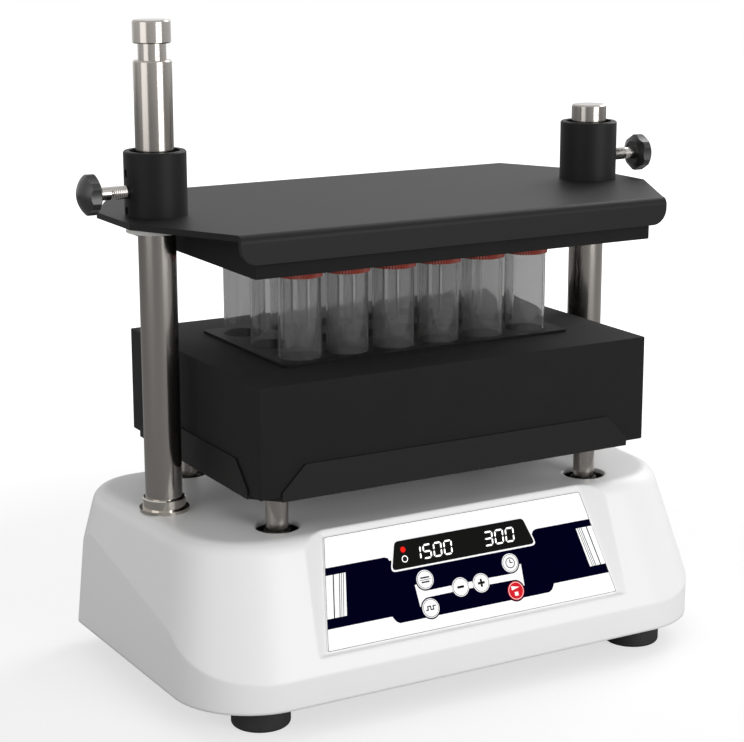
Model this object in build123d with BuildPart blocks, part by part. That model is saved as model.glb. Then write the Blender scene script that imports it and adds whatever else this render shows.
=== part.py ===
from build123d import *
from math import cos, radians, sin, tan
import os

os.makedirs("parts", exist_ok=True)

# A multi-tube vortex mixer: a drive base, a rack on an orbiting tray, and a foam-lined press plate
# that clamps the tubes from above. Millimetres, +Z up, the front faces -Y, z = 0 is the bench top.

# Clearances
running_gap = 0.08
slip_gap = 0.2
rest_gap = 0.3

# Drive base
stage_y = 12.5
foot_height = 19.0
foot_radius = 19.6
foot_x = 149.4
foot_front = 97.5
foot_rear = 68.0
housing_height = 103.0
housing_wall = 3.2
skirt_front = 131.5
skirt_rear = 99.5
skirt_flare_front = 15.2
skirt_flare_rear = 4.7
skirt_front_radius = 57.0
skirt_rear_radius = 16.0
skirt_corner_growth = 0.29
deck_front = 101.5
deck_rear = 97.0
deck_half_front = 184.3
deck_half_rear = 199.3
deck_front_radius = 55.0
deck_rear_radius = 42.0
deck_edge_radius = 12.0
corner_spread = 0.45
rear_corner_spread = 0.0
front_lean = 19.8
side_lean = 13.4
rear_lean = 5.0
base_plate_thickness = 3.0

# Front panel
panel_lean = 23.7
panel_front = 125.5
panel_rise = 31.9
panel_height = 73.4
panel_half_bottom = 114.5
panel_half_top = 101.5
panel_thickness = 1.2
panel_corner = 1.5
panel_wall = 3.0
key_radius = 6.4
key_stem_radius = 3.8
key_travel = 0.6
key_column = 33.8
key_row_high = 33.8
key_row_middle = 24.4
key_row_low = 14.6
key_inner_column = 8.2
window_bottom = 43.7
window_height = 18.3
window_half_bottom = 56.5
window_half_top = 50.8
window_corner = 3.0
light_x = -45.7
light_low = 49.7
light_high = 56.0
light_radius = 1.9

# Drive
orbit_radius = 2.0
carrier_thickness = 8.0
carrier_drop = 14.3
idler_x = 86.0
idler_y = 52.0
motor_radius = 40.0
motor_height = 45.0
shaft_radius = 5.0
crank_pin_radius = 6.0
drive_bearing_radius = 16.0
drive_bearing_height = 10.0
idler_pin_radius = 4.0
idler_bearing_radius = 11.0
idler_bearing_height = 7.0
pillar_radius = 15.0

# Tray and rack
tray_lift = 27.0
tray_sheet = 2.5
tray_skin = 1.6
block_width = 300.0
block_depth = 205.4
block_height = 73.5
rack_plate_width = 224.0
rack_plate_depth = 126.0
rack_plate_thickness = 2.0
tube_pitch_x = 35.7
tube_pitch_y = 42.0
tube_columns = 6
tube_rows = 3
tube_radius = 14.3
tube_wall = 1.2
tube_length = 115.0
tube_depth = 50.0
tube_tip_radius = 4.0
tube_cone = 14.0
cap_radius = 15.5
cap_height = 12.2
cap_roof = 1.5
platform_post_radius = 7.5
platform_post_x = 122.7
platform_post_y = 71.5
platform_hole_radius = 15.1

# Posts and press plate
post_x = 171.6
post_radius = 12.5
post_head_radius = 12.4
post_neck_radius = 9.15
post_neck_height = 10.6
post_head_height = 14.7
right_post_reach = 12.1
press_lift = 88.9
pad_thickness = 24.7
pad_width = 302.0
press_sheet = 4.0
press_half_width = 202.0
press_half_end = 28.0
press_half_front = 162.0
press_face = 106.5
press_bend = 5.0
press_lip = 18.7
press_lip_round = 11.0
collar_radius = 20.5
collar_bore = 16.5
collar_height = 41.8
collar_tail = 3.0
bush_flange = 4.0
bush_flange_radius = 20.0
bush_top_drop = 10.0
knob_rise = 16.0
knob_radius = 13.2
knob_length = 14.2
knob_offset = 40.0
stud_radius = 3.9
thread_pitch = 1.25
tip_radius = 3.0
tip_length = 4.0
grub_radius = 2.5
grub_spacing = 12.1

# Widths of the skirt that follow from the deck, and heights that follow from the stack
skirt_half_front = deck_half_front + skirt_flare_front
skirt_half_rear = deck_half_rear + skirt_flare_rear
housing_bottom = foot_height
housing_top = foot_height + housing_height
base_top = housing_bottom + base_plate_thickness
carrier_top = housing_top - housing_wall - carrier_drop
carrier_bottom = carrier_top - carrier_thickness
tray_bottom = housing_top + tray_lift
block_bottom = tray_bottom + tray_sheet
block_top = block_bottom + block_height
rack_top = block_top + rack_plate_thickness
tube_tip = rack_top - tube_depth
tube_top = tube_tip + tube_length
cap_top = tube_top + cap_roof
pad_bottom = cap_top + rest_gap
press_bottom = pad_bottom + pad_thickness
press_top = press_bottom + press_sheet
collar_bottom = press_bottom - collar_tail
collar_top = press_top + collar_height
knob_z = press_top + knob_rise
crank_x = 0.0
drive_x = crank_x - orbit_radius


def plan_outline(front, rear, half_front, half_rear, front_round, rear_round):
    with BuildSketch() as outline:
        with BuildLine():
            Polyline(
                (-half_front, stage_y - front),
                (half_front, stage_y - front),
                (half_rear, stage_y + rear),
                (-half_rear, stage_y + rear),
                close=True,
            )
        make_face()
        fillet(outline.vertices().group_by(Axis.Y)[0], front_round)
        fillet(outline.vertices().group_by(Axis.Y)[-1], rear_round)
    return outline.sketch


def skirt_outline(inset, height=0):
    # The rear corners of the skirt open out with the height above its lower edge.
    return plan_outline(
        skirt_front - inset,
        skirt_rear - inset,
        skirt_half_front - inset,
        skirt_half_rear - inset,
        skirt_front_radius - inset,
        skirt_rear_radius + skirt_corner_growth * height - inset,
    )


def moulded_form(inset, low, high):
    # The near-vertical skirt cut by the leaning upper walls, so the crease between them rises to the rear.
    side_slope = (deck_half_rear - deck_half_front) / (deck_front + deck_rear)
    front_shift = housing_height * tan(radians(front_lean))
    rear_shift = housing_height * tan(radians(rear_lean))
    side_shift = housing_height * tan(radians(side_lean))
    front_inset = inset / cos(radians(front_lean))
    side_inset = inset / cos(radians(side_lean))
    with BuildPart() as leaning_body:
        with BuildSketch(Plane.XY.offset(housing_bottom)):
            add(plan_outline(
                deck_front + front_shift - front_inset,
                deck_rear + rear_shift - inset,
                deck_half_front + side_shift - side_slope * front_shift - side_inset,
                deck_half_rear + side_shift + side_slope * rear_shift - side_inset,
                deck_front_radius + side_shift * corner_spread - inset,
                deck_rear_radius + side_shift * rear_corner_spread - inset,
            ))
        with BuildSketch(Plane.XY.offset(housing_top)):
            add(plan_outline(
                deck_front - front_inset,
                deck_rear - inset,
                deck_half_front - side_inset,
                deck_half_rear - side_inset,
                deck_front_radius - inset,
                deck_rear_radius - inset,
            ))
        loft(ruled=True)
    with BuildPart() as form:
        with BuildSketch(Plane.XY.offset(low)):
            add(skirt_outline(inset, low - housing_bottom))
        with BuildSketch(Plane.XY.offset(high)):
            add(skirt_outline(inset, high - housing_bottom))
        loft(ruled=True)
        add(leaning_body.part, mode=Mode.INTERSECT)
    return form.part


# The panel plane: origin at the middle of the label's lower edge, local y up the slope, z out of it
panel_face = Plane(
    origin=(0, stage_y - panel_front, housing_bottom + panel_rise),
    x_dir=(1, 0, 0),
    z_dir=(0, -cos(radians(panel_lean)), sin(radians(panel_lean))),
)
panel_floor = panel_face.offset(-panel_thickness)
panel_back = panel_floor.offset(-panel_wall)

key_places = {
    "key_mode": (-key_column, key_row_high),
    "key_pulse": (-key_column, key_row_low),
    "key_minus": (-key_inner_column, key_row_middle),
    "key_plus": (key_inner_column, key_row_middle),
    "key_timer": (key_column, key_row_high),
    "key_start": (key_column, key_row_low),
}


def trapezoid(half_low, half_high, low, high, corner):
    with BuildSketch() as shape:
        with BuildLine():
            Polyline((-half_low, low), (half_low, low), (half_high, high), (-half_high, high), close=True)
        make_face()
        if corner > 0:
            fillet(shape.vertices(), corner)
    return shape.sketch


# Housing: a moulded shell, open below, with a recess for the panel and holes for the posts
recess_margin = 1.0
recess_reach = 8.0
recess_flare_top = 16.0
recess_flare_bottom = 21.0
recess_ledge = 6.0
recess_overrun = 30.0
recess_top = panel_height + recess_overrun
recess_slope = (panel_half_bottom - panel_half_top) / panel_height
recess_half_top = panel_half_bottom - recess_slope * recess_top + recess_margin
pocket_margin = 14.0
panel_pocket_half = panel_half_bottom + pocket_margin
pocket_depth_inward = 60.0
board_gap = 6.3
window_seat = 3.0
window_lip = 2.0
board_boss_radius = 3.5
board_x = 88.0
board_low = 8.0
board_high = 60.0
screw_radius = 2.0
boss_radius = 6.0
boss_side_x = 194.5
boss_side_y = 62.0
boss_height = 30.0
boss_front_x = 60.0
boss_front_y = 122.5
boss_front_height = 15.0
boss_rear_x = 20.0
boss_rear_y = 91.5
bore_end = 1.0
cut_over = 1.0
inlet_x = 118.0
inlet_rise = 34.0
inlet_z = housing_bottom + inlet_rise
inlet_width = 27.4
inlet_tall = 20.2
inlet_corner = 2.0
switch_x = 66.0
switch_width = 19.0
switch_tall = 25.2
vent_count = 11
vent_pitch = 7.0
vent_width = 3.0
vent_tall = 34.0
vent_x = -110.0
rear_face = Plane(origin=(0, stage_y + skirt_rear, inlet_z), x_dir=(-1, 0, 0), z_dir=(0, 1, 0))
boss_places = [
    (-boss_side_x, stage_y - boss_side_y),
    (boss_side_x, stage_y - boss_side_y),
    (-boss_side_x, stage_y + boss_side_y),
    (boss_side_x, stage_y + boss_side_y),
]
front_boss_places = [(-boss_front_x, stage_y - boss_front_y), (boss_front_x, stage_y - boss_front_y)]
rear_boss_places = [(-boss_rear_x, stage_y + boss_rear_y), (boss_rear_x, stage_y + boss_rear_y)]
post_places = [(-post_x, stage_y), (post_x, stage_y)]
platform_places = [
    (x * platform_post_x, stage_y + y * platform_post_y) for x in (-1, 1) for y in (-1, 1)
]

with BuildPart() as cavity:
    add(moulded_form(housing_wall, housing_bottom, housing_top - housing_wall))
    with BuildSketch(panel_back):
        with Locations((0, recess_top / 2 - recess_ledge)):
            Rectangle(2 * panel_pocket_half, recess_top + 2 * recess_ledge)
    extrude(amount=pocket_depth_inward, mode=Mode.SUBTRACT)

with BuildPart() as recess:
    with BuildSketch(panel_floor):
        add(trapezoid(panel_half_bottom + recess_margin, recess_half_top, -recess_margin, recess_top, 0))
    with BuildSketch(panel_floor.offset(recess_reach)):
        add(trapezoid(
            panel_half_bottom + recess_flare_bottom,
            recess_half_top + recess_flare_top,
            -recess_ledge,
            recess_top,
            0,
        ))
    loft(ruled=True)

with BuildPart() as housing:
    add(moulded_form(0, housing_bottom, housing_top))
    fillet(housing.faces().sort_by(Axis.Z)[-1].edges(), deck_edge_radius)
    add(cavity.part, mode=Mode.SUBTRACT)
    add(recess.part, mode=Mode.SUBTRACT)
    with BuildSketch(Plane.XY.offset(base_top)):
        with Locations(*boss_places):
            Circle(boss_radius)
    extrude(amount=boss_height)
    with BuildSketch(Plane.XY.offset(base_top)):
        with Locations(*front_boss_places, *rear_boss_places):
            Circle(boss_radius)
    extrude(amount=boss_front_height)
    with BuildSketch(panel_back):
        with Locations(*[(x, y) for x in (-board_x, board_x) for y in (board_low, board_high)]):
            Circle(board_boss_radius)
    extrude(amount=-board_gap)
    with BuildSketch(Plane.XY.offset(base_top)):
        with Locations(*boss_places, *front_boss_places, *rear_boss_places):
            Circle(screw_radius + running_gap)
    extrude(amount=boss_front_height - bore_end, mode=Mode.SUBTRACT)
    with BuildSketch(panel_face):
        with Locations(*key_places.values()):
            Circle(key_stem_radius + running_gap)
        with Locations((0, window_bottom + window_height / 2)):
            Rectangle(2 * (window_half_top - window_seat), window_height - 2 * window_lip)
    extrude(amount=-(panel_thickness + panel_wall + cut_over), mode=Mode.SUBTRACT)
    with BuildSketch(Plane.XY.offset(housing_top)):
        with Locations(*post_places):
            Circle(post_radius + slip_gap)
        with Locations(*platform_places):
            Circle(platform_hole_radius)
    extrude(amount=-(housing_wall + cut_over), mode=Mode.SUBTRACT)
    with BuildSketch(rear_face):
        with Locations((-inlet_x, 0)):
            RectangleRounded(inlet_width + slip_gap, inlet_tall + slip_gap, inlet_corner)
        with Locations((-switch_x, 0)):
            Rectangle(switch_width + slip_gap, switch_tall + slip_gap)
        with Locations((-vent_x, 0)):
            with GridLocations(vent_pitch, 1, vent_count, 1):
                SlotOverall(vent_tall, vent_width, rotation=90)
    extrude(amount=-(housing_wall + cut_over), mode=Mode.SUBTRACT)
housing.part.label = "housing"
export_step(housing.part, "parts/housing.step")

# Base plate: pressed steel sheet that closes the housing from below, with a clinched nut over each foot
base_inset = housing_wall + rest_gap
clinch_radius = 4.5
clinch_height = 4.0
foot_places = [(x * foot_x, stage_y + y) for x in (-1, 1) for y in (-foot_front, foot_rear)]
with BuildPart() as base_plate:
    with BuildSketch(Plane.XY.offset(housing_bottom)):
        add(skirt_outline(base_inset))
    extrude(amount=base_plate_thickness)
    with BuildSketch(Plane.XY.offset(base_top)):
        with Locations(*foot_places):
            Circle(clinch_radius)
    extrude(amount=clinch_height)
    with BuildSketch(Plane.XY.offset(base_top + clinch_height)):
        with Locations(*boss_places, *front_boss_places, *rear_boss_places):
            Circle(screw_radius + running_gap)
        with Locations(*foot_places):
            Circle(screw_radius + running_gap)
    extrude(amount=-(base_plate_thickness + clinch_height), mode=Mode.SUBTRACT)
base_plate.part.label = "base_plate"
export_step(base_plate.part, "parts/base_plate.step")

# Base screws: pan heads under the plate, shanks up into the housing bosses
screw_head_radius = 4.0
screw_head_height = 2.4
screw_end_gap = 3.0
with BuildPart() as base_screws:
    with BuildSketch(Plane.XY.offset(housing_bottom - screw_head_height)):
        with Locations(*boss_places, *front_boss_places, *rear_boss_places):
            Circle(screw_head_radius)
    extrude(amount=screw_head_height)
    with BuildSketch(Plane.XY.offset(housing_bottom)):
        with Locations(*boss_places, *front_boss_places, *rear_boss_places):
            Circle(screw_radius)
    extrude(amount=base_plate_thickness + boss_front_height - screw_end_gap)
base_screws.part.label = "base_screws"
export_step(base_screws.part, "parts/base_screws.step")

# Feet: turned rubber pads, each held by a screw through its middle
foot_bore = 6.0
foot_bore_depth = 6.0
foot_round = 2.5
with BuildPart() as feet:
    with BuildSketch(Plane.XY):
        with Locations(*foot_places):
            Circle(foot_radius)
    extrude(amount=foot_height)
    fillet(feet.edges().group_by(Axis.Z)[0], foot_round)
    with BuildSketch(Plane.XY):
        with Locations(*foot_places):
            Circle(foot_bore)
    extrude(amount=foot_bore_depth, mode=Mode.SUBTRACT)
    with BuildSketch(Plane.XY.offset(foot_height)):
        with Locations(*foot_places):
            Circle(screw_radius + running_gap)
    extrude(amount=-foot_height, mode=Mode.SUBTRACT)
feet.part.label = "feet"
export_step(feet.part, "parts/feet.step")

foot_screw_length = foot_height - foot_bore_depth + base_plate_thickness + clinch_height
with BuildPart() as foot_screws:
    with BuildSketch(Plane.XY.offset(foot_bore_depth - screw_head_height)):
        with Locations(*foot_places):
            Circle(screw_head_radius)
    extrude(amount=screw_head_height)
    with BuildSketch(Plane.XY.offset(foot_bore_depth)):
        with Locations(*foot_places):
            Circle(screw_radius)
    extrude(amount=foot_screw_length)
foot_screws.part.label = "foot_screws"
export_step(foot_screws.part, "parts/foot_screws.step")

# Panel overlay: a printed plate in the recess, with openings for the keys and the display window
with BuildPart() as panel:
    with BuildSketch(panel_floor):
        add(trapezoid(panel_half_bottom, panel_half_top, 0, panel_height, panel_corner))
    extrude(amount=panel_thickness)
    with BuildSketch(panel_face):
        with Locations(*key_places.values()):
            Circle(key_radius + slip_gap)
    extrude(amount=-panel_thickness, mode=Mode.SUBTRACT)
    with BuildSketch(panel_face):
        add(trapezoid(
            window_half_bottom + slip_gap,
            window_half_top + slip_gap,
            window_bottom - slip_gap,
            window_bottom + window_height + slip_gap,
            window_corner + slip_gap,
        ))
    extrude(amount=-panel_thickness, mode=Mode.SUBTRACT)
panel.part.label = "panel_overlay"
export_step(panel.part, "parts/panel_overlay.step")

# Display window: dark acrylic, a little proud of the overlay, with two bores for the status lights
window_proud = 0.3
light_places = [(light_x, light_low), (light_x, light_high)]
with BuildPart() as window:
    with BuildSketch(panel_floor):
        add(trapezoid(
            window_half_bottom,
            window_half_top,
            window_bottom,
            window_bottom + window_height,
            window_corner,
        ))
    extrude(amount=panel_thickness + window_proud)
    with BuildSketch(panel_floor):
        with Locations(*light_places):
            Circle(light_radius + running_gap)
    extrude(amount=panel_thickness + window_proud, mode=Mode.SUBTRACT)
window.part.label = "display_window"
export_step(window.part, "parts/display_window.step")

with BuildPart() as status_lights:
    with BuildSketch(panel_floor):
        with Locations(*light_places):
            Circle(light_radius)
    extrude(amount=panel_thickness + window_proud)
status_lights.part.label = "status_lights"
export_step(status_lights.part, "parts/status_lights.step")

# Keys: a round cap in the overlay on a stem that reaches through the housing to its switch
stop_gap = 0.1
stem_reach = 2.0
key_seat = key_travel + stop_gap
key_proud = 0.3
switch_gap = key_travel + stop_gap
stem_end = panel_wall + stem_reach
for key_name, key_place in key_places.items():
    with BuildPart() as key:
        with BuildSketch(panel_floor.offset(key_seat)):
            with Locations(key_place):
                Circle(key_radius)
        extrude(amount=panel_thickness + key_proud - key_seat)
        with BuildSketch(panel_floor.offset(-stem_end)):
            with Locations(key_place):
                Circle(key_stem_radius)
        extrude(amount=stem_end + key_seat)
    key.part.label = key_name
    export_step(key.part, "parts/" + key_name + ".step")

# Control board behind the panel, with a switch soldered under each key, and the display module
board_face = panel_back.offset(-board_gap)
board_thickness = 1.6
board_half_width = 96.0
board_height = 62.0
board_centre = (board_low + board_high) / 2
board_hole_radius = 1.3
module_margin = 1.0
switch_side = 6.0
plunger_height = 0.8
plunger_radius = 1.75
switch_reach = board_gap + panel_wall - stem_end - switch_gap
board_places = [(x * board_x, y) for x in (-1, 1) for y in (board_low, board_high)]
with BuildPart() as control_board:
    with BuildSketch(board_face):
        with Locations((0, board_centre)):
            Rectangle(2 * board_half_width, board_height)
        with Locations(*board_places):
            Circle(board_hole_radius, mode=Mode.SUBTRACT)
    extrude(amount=-board_thickness)
    with BuildSketch(board_face):
        with Locations(*key_places.values()):
            Rectangle(switch_side, switch_side)
    extrude(amount=switch_reach - plunger_height)
    with BuildSketch(board_face):
        with Locations(*key_places.values()):
            Circle(plunger_radius)
    extrude(amount=switch_reach)
control_board.part.label = "control_board"
export_step(control_board.part, "parts/control_board.step")

with BuildPart() as display_module:
    with BuildSketch(board_face):
        with Locations((0, window_bottom + window_height / 2)):
            Rectangle(
                2 * (window_half_top - window_seat - module_margin),
                window_height - 2 * (window_lip + module_margin),
            )
    extrude(amount=board_gap + panel_wall - slip_gap)
display_module.part.label = "display_module"
export_step(display_module.part, "parts/display_module.step")

# Tall posts: stand on the base plate in steel sockets and pass up through the housing
socket_radius = 20.0
socket_height = 30.0
socket_chamfer = 2.0
with BuildPart() as post_sockets:
    with BuildSketch(Plane.XY.offset(base_top)):
        with Locations(*post_places):
            Circle(socket_radius)
    extrude(amount=socket_height)
    chamfer(post_sockets.edges().group_by(Axis.Z)[-1], socket_chamfer)
    with BuildSketch(Plane.XY.offset(base_top)):
        with Locations(*post_places):
            Circle(post_radius + running_gap)
    extrude(amount=socket_height, mode=Mode.SUBTRACT)
post_sockets.part.label = "post_sockets"
export_step(post_sockets.part, "parts/post_sockets.step")

# A plated ring covers the hole in the deck round each post: a thin flange under a narrower band
ring_flange = 4.4
ring_flange_height = 2.2
ring_band = 2.0
ring_band_height = 7.2
ring_chamfer = 0.6
with BuildPart() as post_rings:
    with BuildSketch(Plane.XY.offset(housing_top)):
        with Locations(*post_places):
            Circle(post_radius + ring_flange)
    extrude(amount=ring_flange_height)
    with BuildSketch(Plane.XY.offset(housing_top + ring_flange_height)):
        with Locations(*post_places):
            Circle(post_radius + ring_band)
    extrude(amount=ring_band_height)
    chamfer(post_rings.edges().group_by(Axis.Z)[-1], ring_chamfer)
    with BuildSketch(Plane.XY.offset(housing_top)):
        with Locations(*post_places):
            Circle(post_radius + running_gap)
    extrude(amount=ring_flange_height + ring_band_height, mode=Mode.SUBTRACT)
post_rings.part.label = "post_rings"
export_step(post_rings.part, "parts/post_rings.step")

# The left post ends in a locking neck under a head, the right post ends just above its collar
post_chamfer = 1.0
head_chamfer = 0.8
neck_bottom = knob_z + press_lift - post_neck_height / 2
neck_top = neck_bottom + post_neck_height
head_top = neck_top + post_head_height
left_post_front = Plane(origin=(-post_x, stage_y, 0), x_dir=(1, 0, 0), z_dir=(0, -1, 0))
with BuildPart() as left_post:
    with BuildSketch(left_post_front):
        with BuildLine():
            Polyline(
                (0, base_top),
                (post_radius, base_top),
                (post_radius, neck_bottom - post_chamfer),
                (post_radius - post_chamfer, neck_bottom),
                (post_neck_radius, neck_bottom),
                (post_neck_radius, neck_top),
                (post_head_radius - head_chamfer, neck_top),
                (post_head_radius, neck_top + head_chamfer),
                (post_head_radius, head_top - post_chamfer),
                (post_head_radius - post_chamfer, head_top),
                (0, head_top),
                close=True,
            )
        make_face()
    revolve(axis=Axis((-post_x, stage_y, 0), (0, 0, 1)))
left_post.part.label = "left_post"
export_step(left_post.part, "parts/left_post.step")

with BuildPart() as right_post:
    with BuildSketch(Plane.XY.offset(base_top)):
        with Locations((post_x, stage_y)):
            Circle(post_radius)
    extrude(amount=collar_top + right_post_reach - base_top)
    chamfer(right_post.edges().group_by(Axis.Z)[-1], post_chamfer)
right_post.part.label = "right_post"
export_step(right_post.part, "parts/right_post.step")

# Motor: a grooved can round the rotor space, bolted by its foot flange to the base plate
motor_place = (drive_x, stage_y)
flange_half = 46.0
flange_thickness = 4.0
bell_radius = 28.0
bell_height = 4.0
motor_top = base_top + motor_height
flange_corner = 8.0
rib_count = 18
rib_depth = 2.0
rib_width = 3.0
motor_screw_x = 38.0
motor_floor = 4.0
rotor_rise = 9.0
motor_bore = shaft_radius + running_gap
rotor_radius = 30.0
rotor_height = 30.0
rotor_gap = 0.6
rotor_bottom = base_top + rotor_rise
motor_bore_depth = motor_height + bell_height - motor_floor
motor_screw_places = [
    (drive_x + x * motor_screw_x, stage_y + y * motor_screw_x) for x in (-1, 1) for y in (-1, 1)
]
with BuildPart() as motor:
    with BuildSketch(Plane.XY.offset(base_top)):
        with Locations(motor_place):
            RectangleRounded(2 * flange_half, 2 * flange_half, flange_corner)
    extrude(amount=flange_thickness)
    with BuildSketch(Plane.XY.offset(base_top + flange_thickness)):
        with Locations(motor_place):
            Circle(motor_radius)
            with PolarLocations(motor_radius, rib_count):
                Rectangle(2 * rib_depth, rib_width, mode=Mode.SUBTRACT)
    extrude(amount=motor_height - flange_thickness)
    with BuildSketch(Plane.XY.offset(motor_top)):
        with Locations(motor_place):
            Circle(bell_radius)
    extrude(amount=bell_height)
    with BuildSketch(Plane.XY.offset(rotor_bottom - rotor_gap)):
        with Locations(motor_place):
            Circle(rotor_radius + rotor_gap)
    extrude(amount=rotor_height + 2 * rotor_gap, mode=Mode.SUBTRACT)
    with BuildSketch(Plane.XY.offset(motor_top + bell_height)):
        with Locations(motor_place):
            Circle(motor_bore)
    extrude(amount=-motor_bore_depth, mode=Mode.SUBTRACT)
    with BuildSketch(Plane.XY.offset(base_top)):
        with Locations(*motor_screw_places):
            Circle(screw_radius + running_gap)
    extrude(amount=flange_thickness, mode=Mode.SUBTRACT)
motor.part.label = "motor"
export_step(motor.part, "parts/motor.step")

with BuildPart() as motor_screws:
    with BuildSketch(Plane.XY.offset(base_top)):
        with Locations(*motor_screw_places):
            Circle(screw_radius)
    extrude(amount=flange_thickness)
    with BuildSketch(Plane.XY.offset(base_top + flange_thickness)):
        with Locations(*motor_screw_places):
            Circle(screw_head_radius)
    extrude(amount=screw_head_height)
motor_screws.part.label = "motor_screws"
export_step(motor_screws.part, "parts/motor_screws.step")

with BuildPart() as motor_rotor:
    with BuildSketch(Plane.XY.offset(rotor_bottom)):
        with Locations(motor_place):
            Circle(rotor_radius)
            Circle(shaft_radius, mode=Mode.SUBTRACT)
    extrude(amount=rotor_height)
motor_rotor.part.label = "motor_rotor"
export_step(motor_rotor.part, "parts/motor_rotor.step")

# Eccentric shaft: motor shaft, hub and offset crank pin in one turned piece
hub_radius = 15.0
hub_height = 14.0
hub_gap = 1.0
hub_bottom = motor_top + bell_height + hub_gap
shoulder_radius = 9.0
bearing_sink = 1.0
pin_end = 0.5
drive_bearing_bottom = carrier_top - bearing_sink - drive_bearing_height
shaft_depth = hub_bottom - base_top - motor_floor - hub_gap
with BuildPart() as eccentric_shaft:
    with BuildSketch(Plane.XY.offset(hub_bottom)):
        with Locations(motor_place):
            Circle(shaft_radius)
    extrude(amount=-shaft_depth)
    with BuildSketch(Plane.XY.offset(hub_bottom)):
        with Locations(motor_place):
            Circle(hub_radius)
    extrude(amount=hub_height)
    with BuildSketch(Plane.XY.offset(hub_bottom + hub_height)):
        with Locations((crank_x, stage_y)):
            Circle(shoulder_radius)
    extrude(amount=drive_bearing_bottom - hub_bottom - hub_height)
    with BuildSketch(Plane.XY.offset(drive_bearing_bottom)):
        with Locations((crank_x, stage_y)):
            Circle(crank_pin_radius)
    extrude(amount=drive_bearing_height + pin_end)
eccentric_shaft.part.label = "eccentric_shaft"
export_step(eccentric_shaft.part, "parts/eccentric_shaft.step")

# Counterweight: a half ring on the side of the hub away from the crank pin
weight_radius = 36.0
weight_thickness = 10.0
weight_rise = 2.0
with BuildPart() as counterweight:
    with BuildSketch(Plane.XY.offset(hub_bottom + weight_rise)):
        with Locations(motor_place):
            Circle(weight_radius)
            Circle(hub_radius + running_gap, mode=Mode.SUBTRACT)
        with Locations((drive_x + weight_radius / 2, stage_y)):
            Rectangle(weight_radius, 2 * weight_radius, mode=Mode.SUBTRACT)
    extrude(amount=weight_thickness)
counterweight.part.label = "counterweight"
export_step(counterweight.part, "parts/counterweight.step")

# Idler pillars: four turned posts on the base plate, each with a bearing for an idler crank
idler_places = [(drive_x + x * idler_x, stage_y + y * idler_y) for x in (-1, 1) for y in (-1, 1)]
pin_places = [(crank_x + x * idler_x, stage_y + y * idler_y) for x in (-1, 1) for y in (-1, 1)]
web_radius = 13.0
web_thickness = 6.0
idler_shoulder = 6.0
web_gap = 4.0
pillar_gap = 1.0
bearing_shelf = 3.0
upper_bearing_bottom = carrier_bottom
web_top = upper_bearing_bottom - web_gap
web_bottom = web_top - web_thickness
pillar_top = web_bottom - pillar_gap
lower_bearing_bottom = pillar_top - idler_bearing_height
with BuildPart() as idler_pillars:
    with BuildSketch(Plane.XY.offset(base_top)):
        with Locations(*idler_places):
            Circle(pillar_radius)
    extrude(amount=pillar_top - base_top)
    with BuildSketch(Plane.XY.offset(base_top)):
        with Locations(*idler_places):
            Circle(idler_bearing_radius - bearing_shelf)
    extrude(amount=pillar_top - base_top, mode=Mode.SUBTRACT)
    with BuildSketch(Plane.XY.offset(pillar_top)):
        with Locations(*idler_places):
            Circle(idler_bearing_radius + running_gap)
    extrude(amount=-idler_bearing_height, mode=Mode.SUBTRACT)
idler_pillars.part.label = "idler_pillars"
export_step(idler_pillars.part, "parts/idler_pillars.step")

with BuildPart() as pillar_bearings:
    with BuildSketch(Plane.XY.offset(lower_bearing_bottom)):
        with Locations(*idler_places):
            Circle(idler_bearing_radius)
            Circle(idler_pin_radius + running_gap, mode=Mode.SUBTRACT)
    extrude(amount=idler_bearing_height)
pillar_bearings.part.label = "pillar_bearings"
export_step(pillar_bearings.part, "parts/pillar_bearings.step")

idler_names = ["front_left_idler", "rear_left_idler", "front_right_idler", "rear_right_idler"]
for idler_name, idler_place, pin_place in zip(idler_names, idler_places, pin_places):
    with BuildPart() as idler:
        with BuildSketch(Plane.XY.offset(lower_bearing_bottom)):
            with Locations(idler_place):
                Circle(idler_pin_radius)
        extrude(amount=idler_bearing_height)
        with BuildSketch(Plane.XY.offset(pillar_top)):
            with Locations(idler_place):
                Circle(idler_shoulder)
        extrude(amount=web_bottom - pillar_top)
        with BuildSketch(Plane.XY.offset(web_bottom)):
            with Locations(idler_place):
                Circle(web_radius)
        extrude(amount=web_thickness)
        with BuildSketch(Plane.XY.offset(web_top)):
            with Locations(pin_place):
                Circle(idler_shoulder)
        extrude(amount=upper_bearing_bottom - web_top)
        with BuildSketch(Plane.XY.offset(upper_bearing_bottom)):
            with Locations(pin_place):
                Circle(idler_pin_radius)
        extrude(amount=idler_bearing_height)
    idler.part.label = idler_name
    export_step(idler.part, "parts/" + idler_name + ".step")

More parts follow.
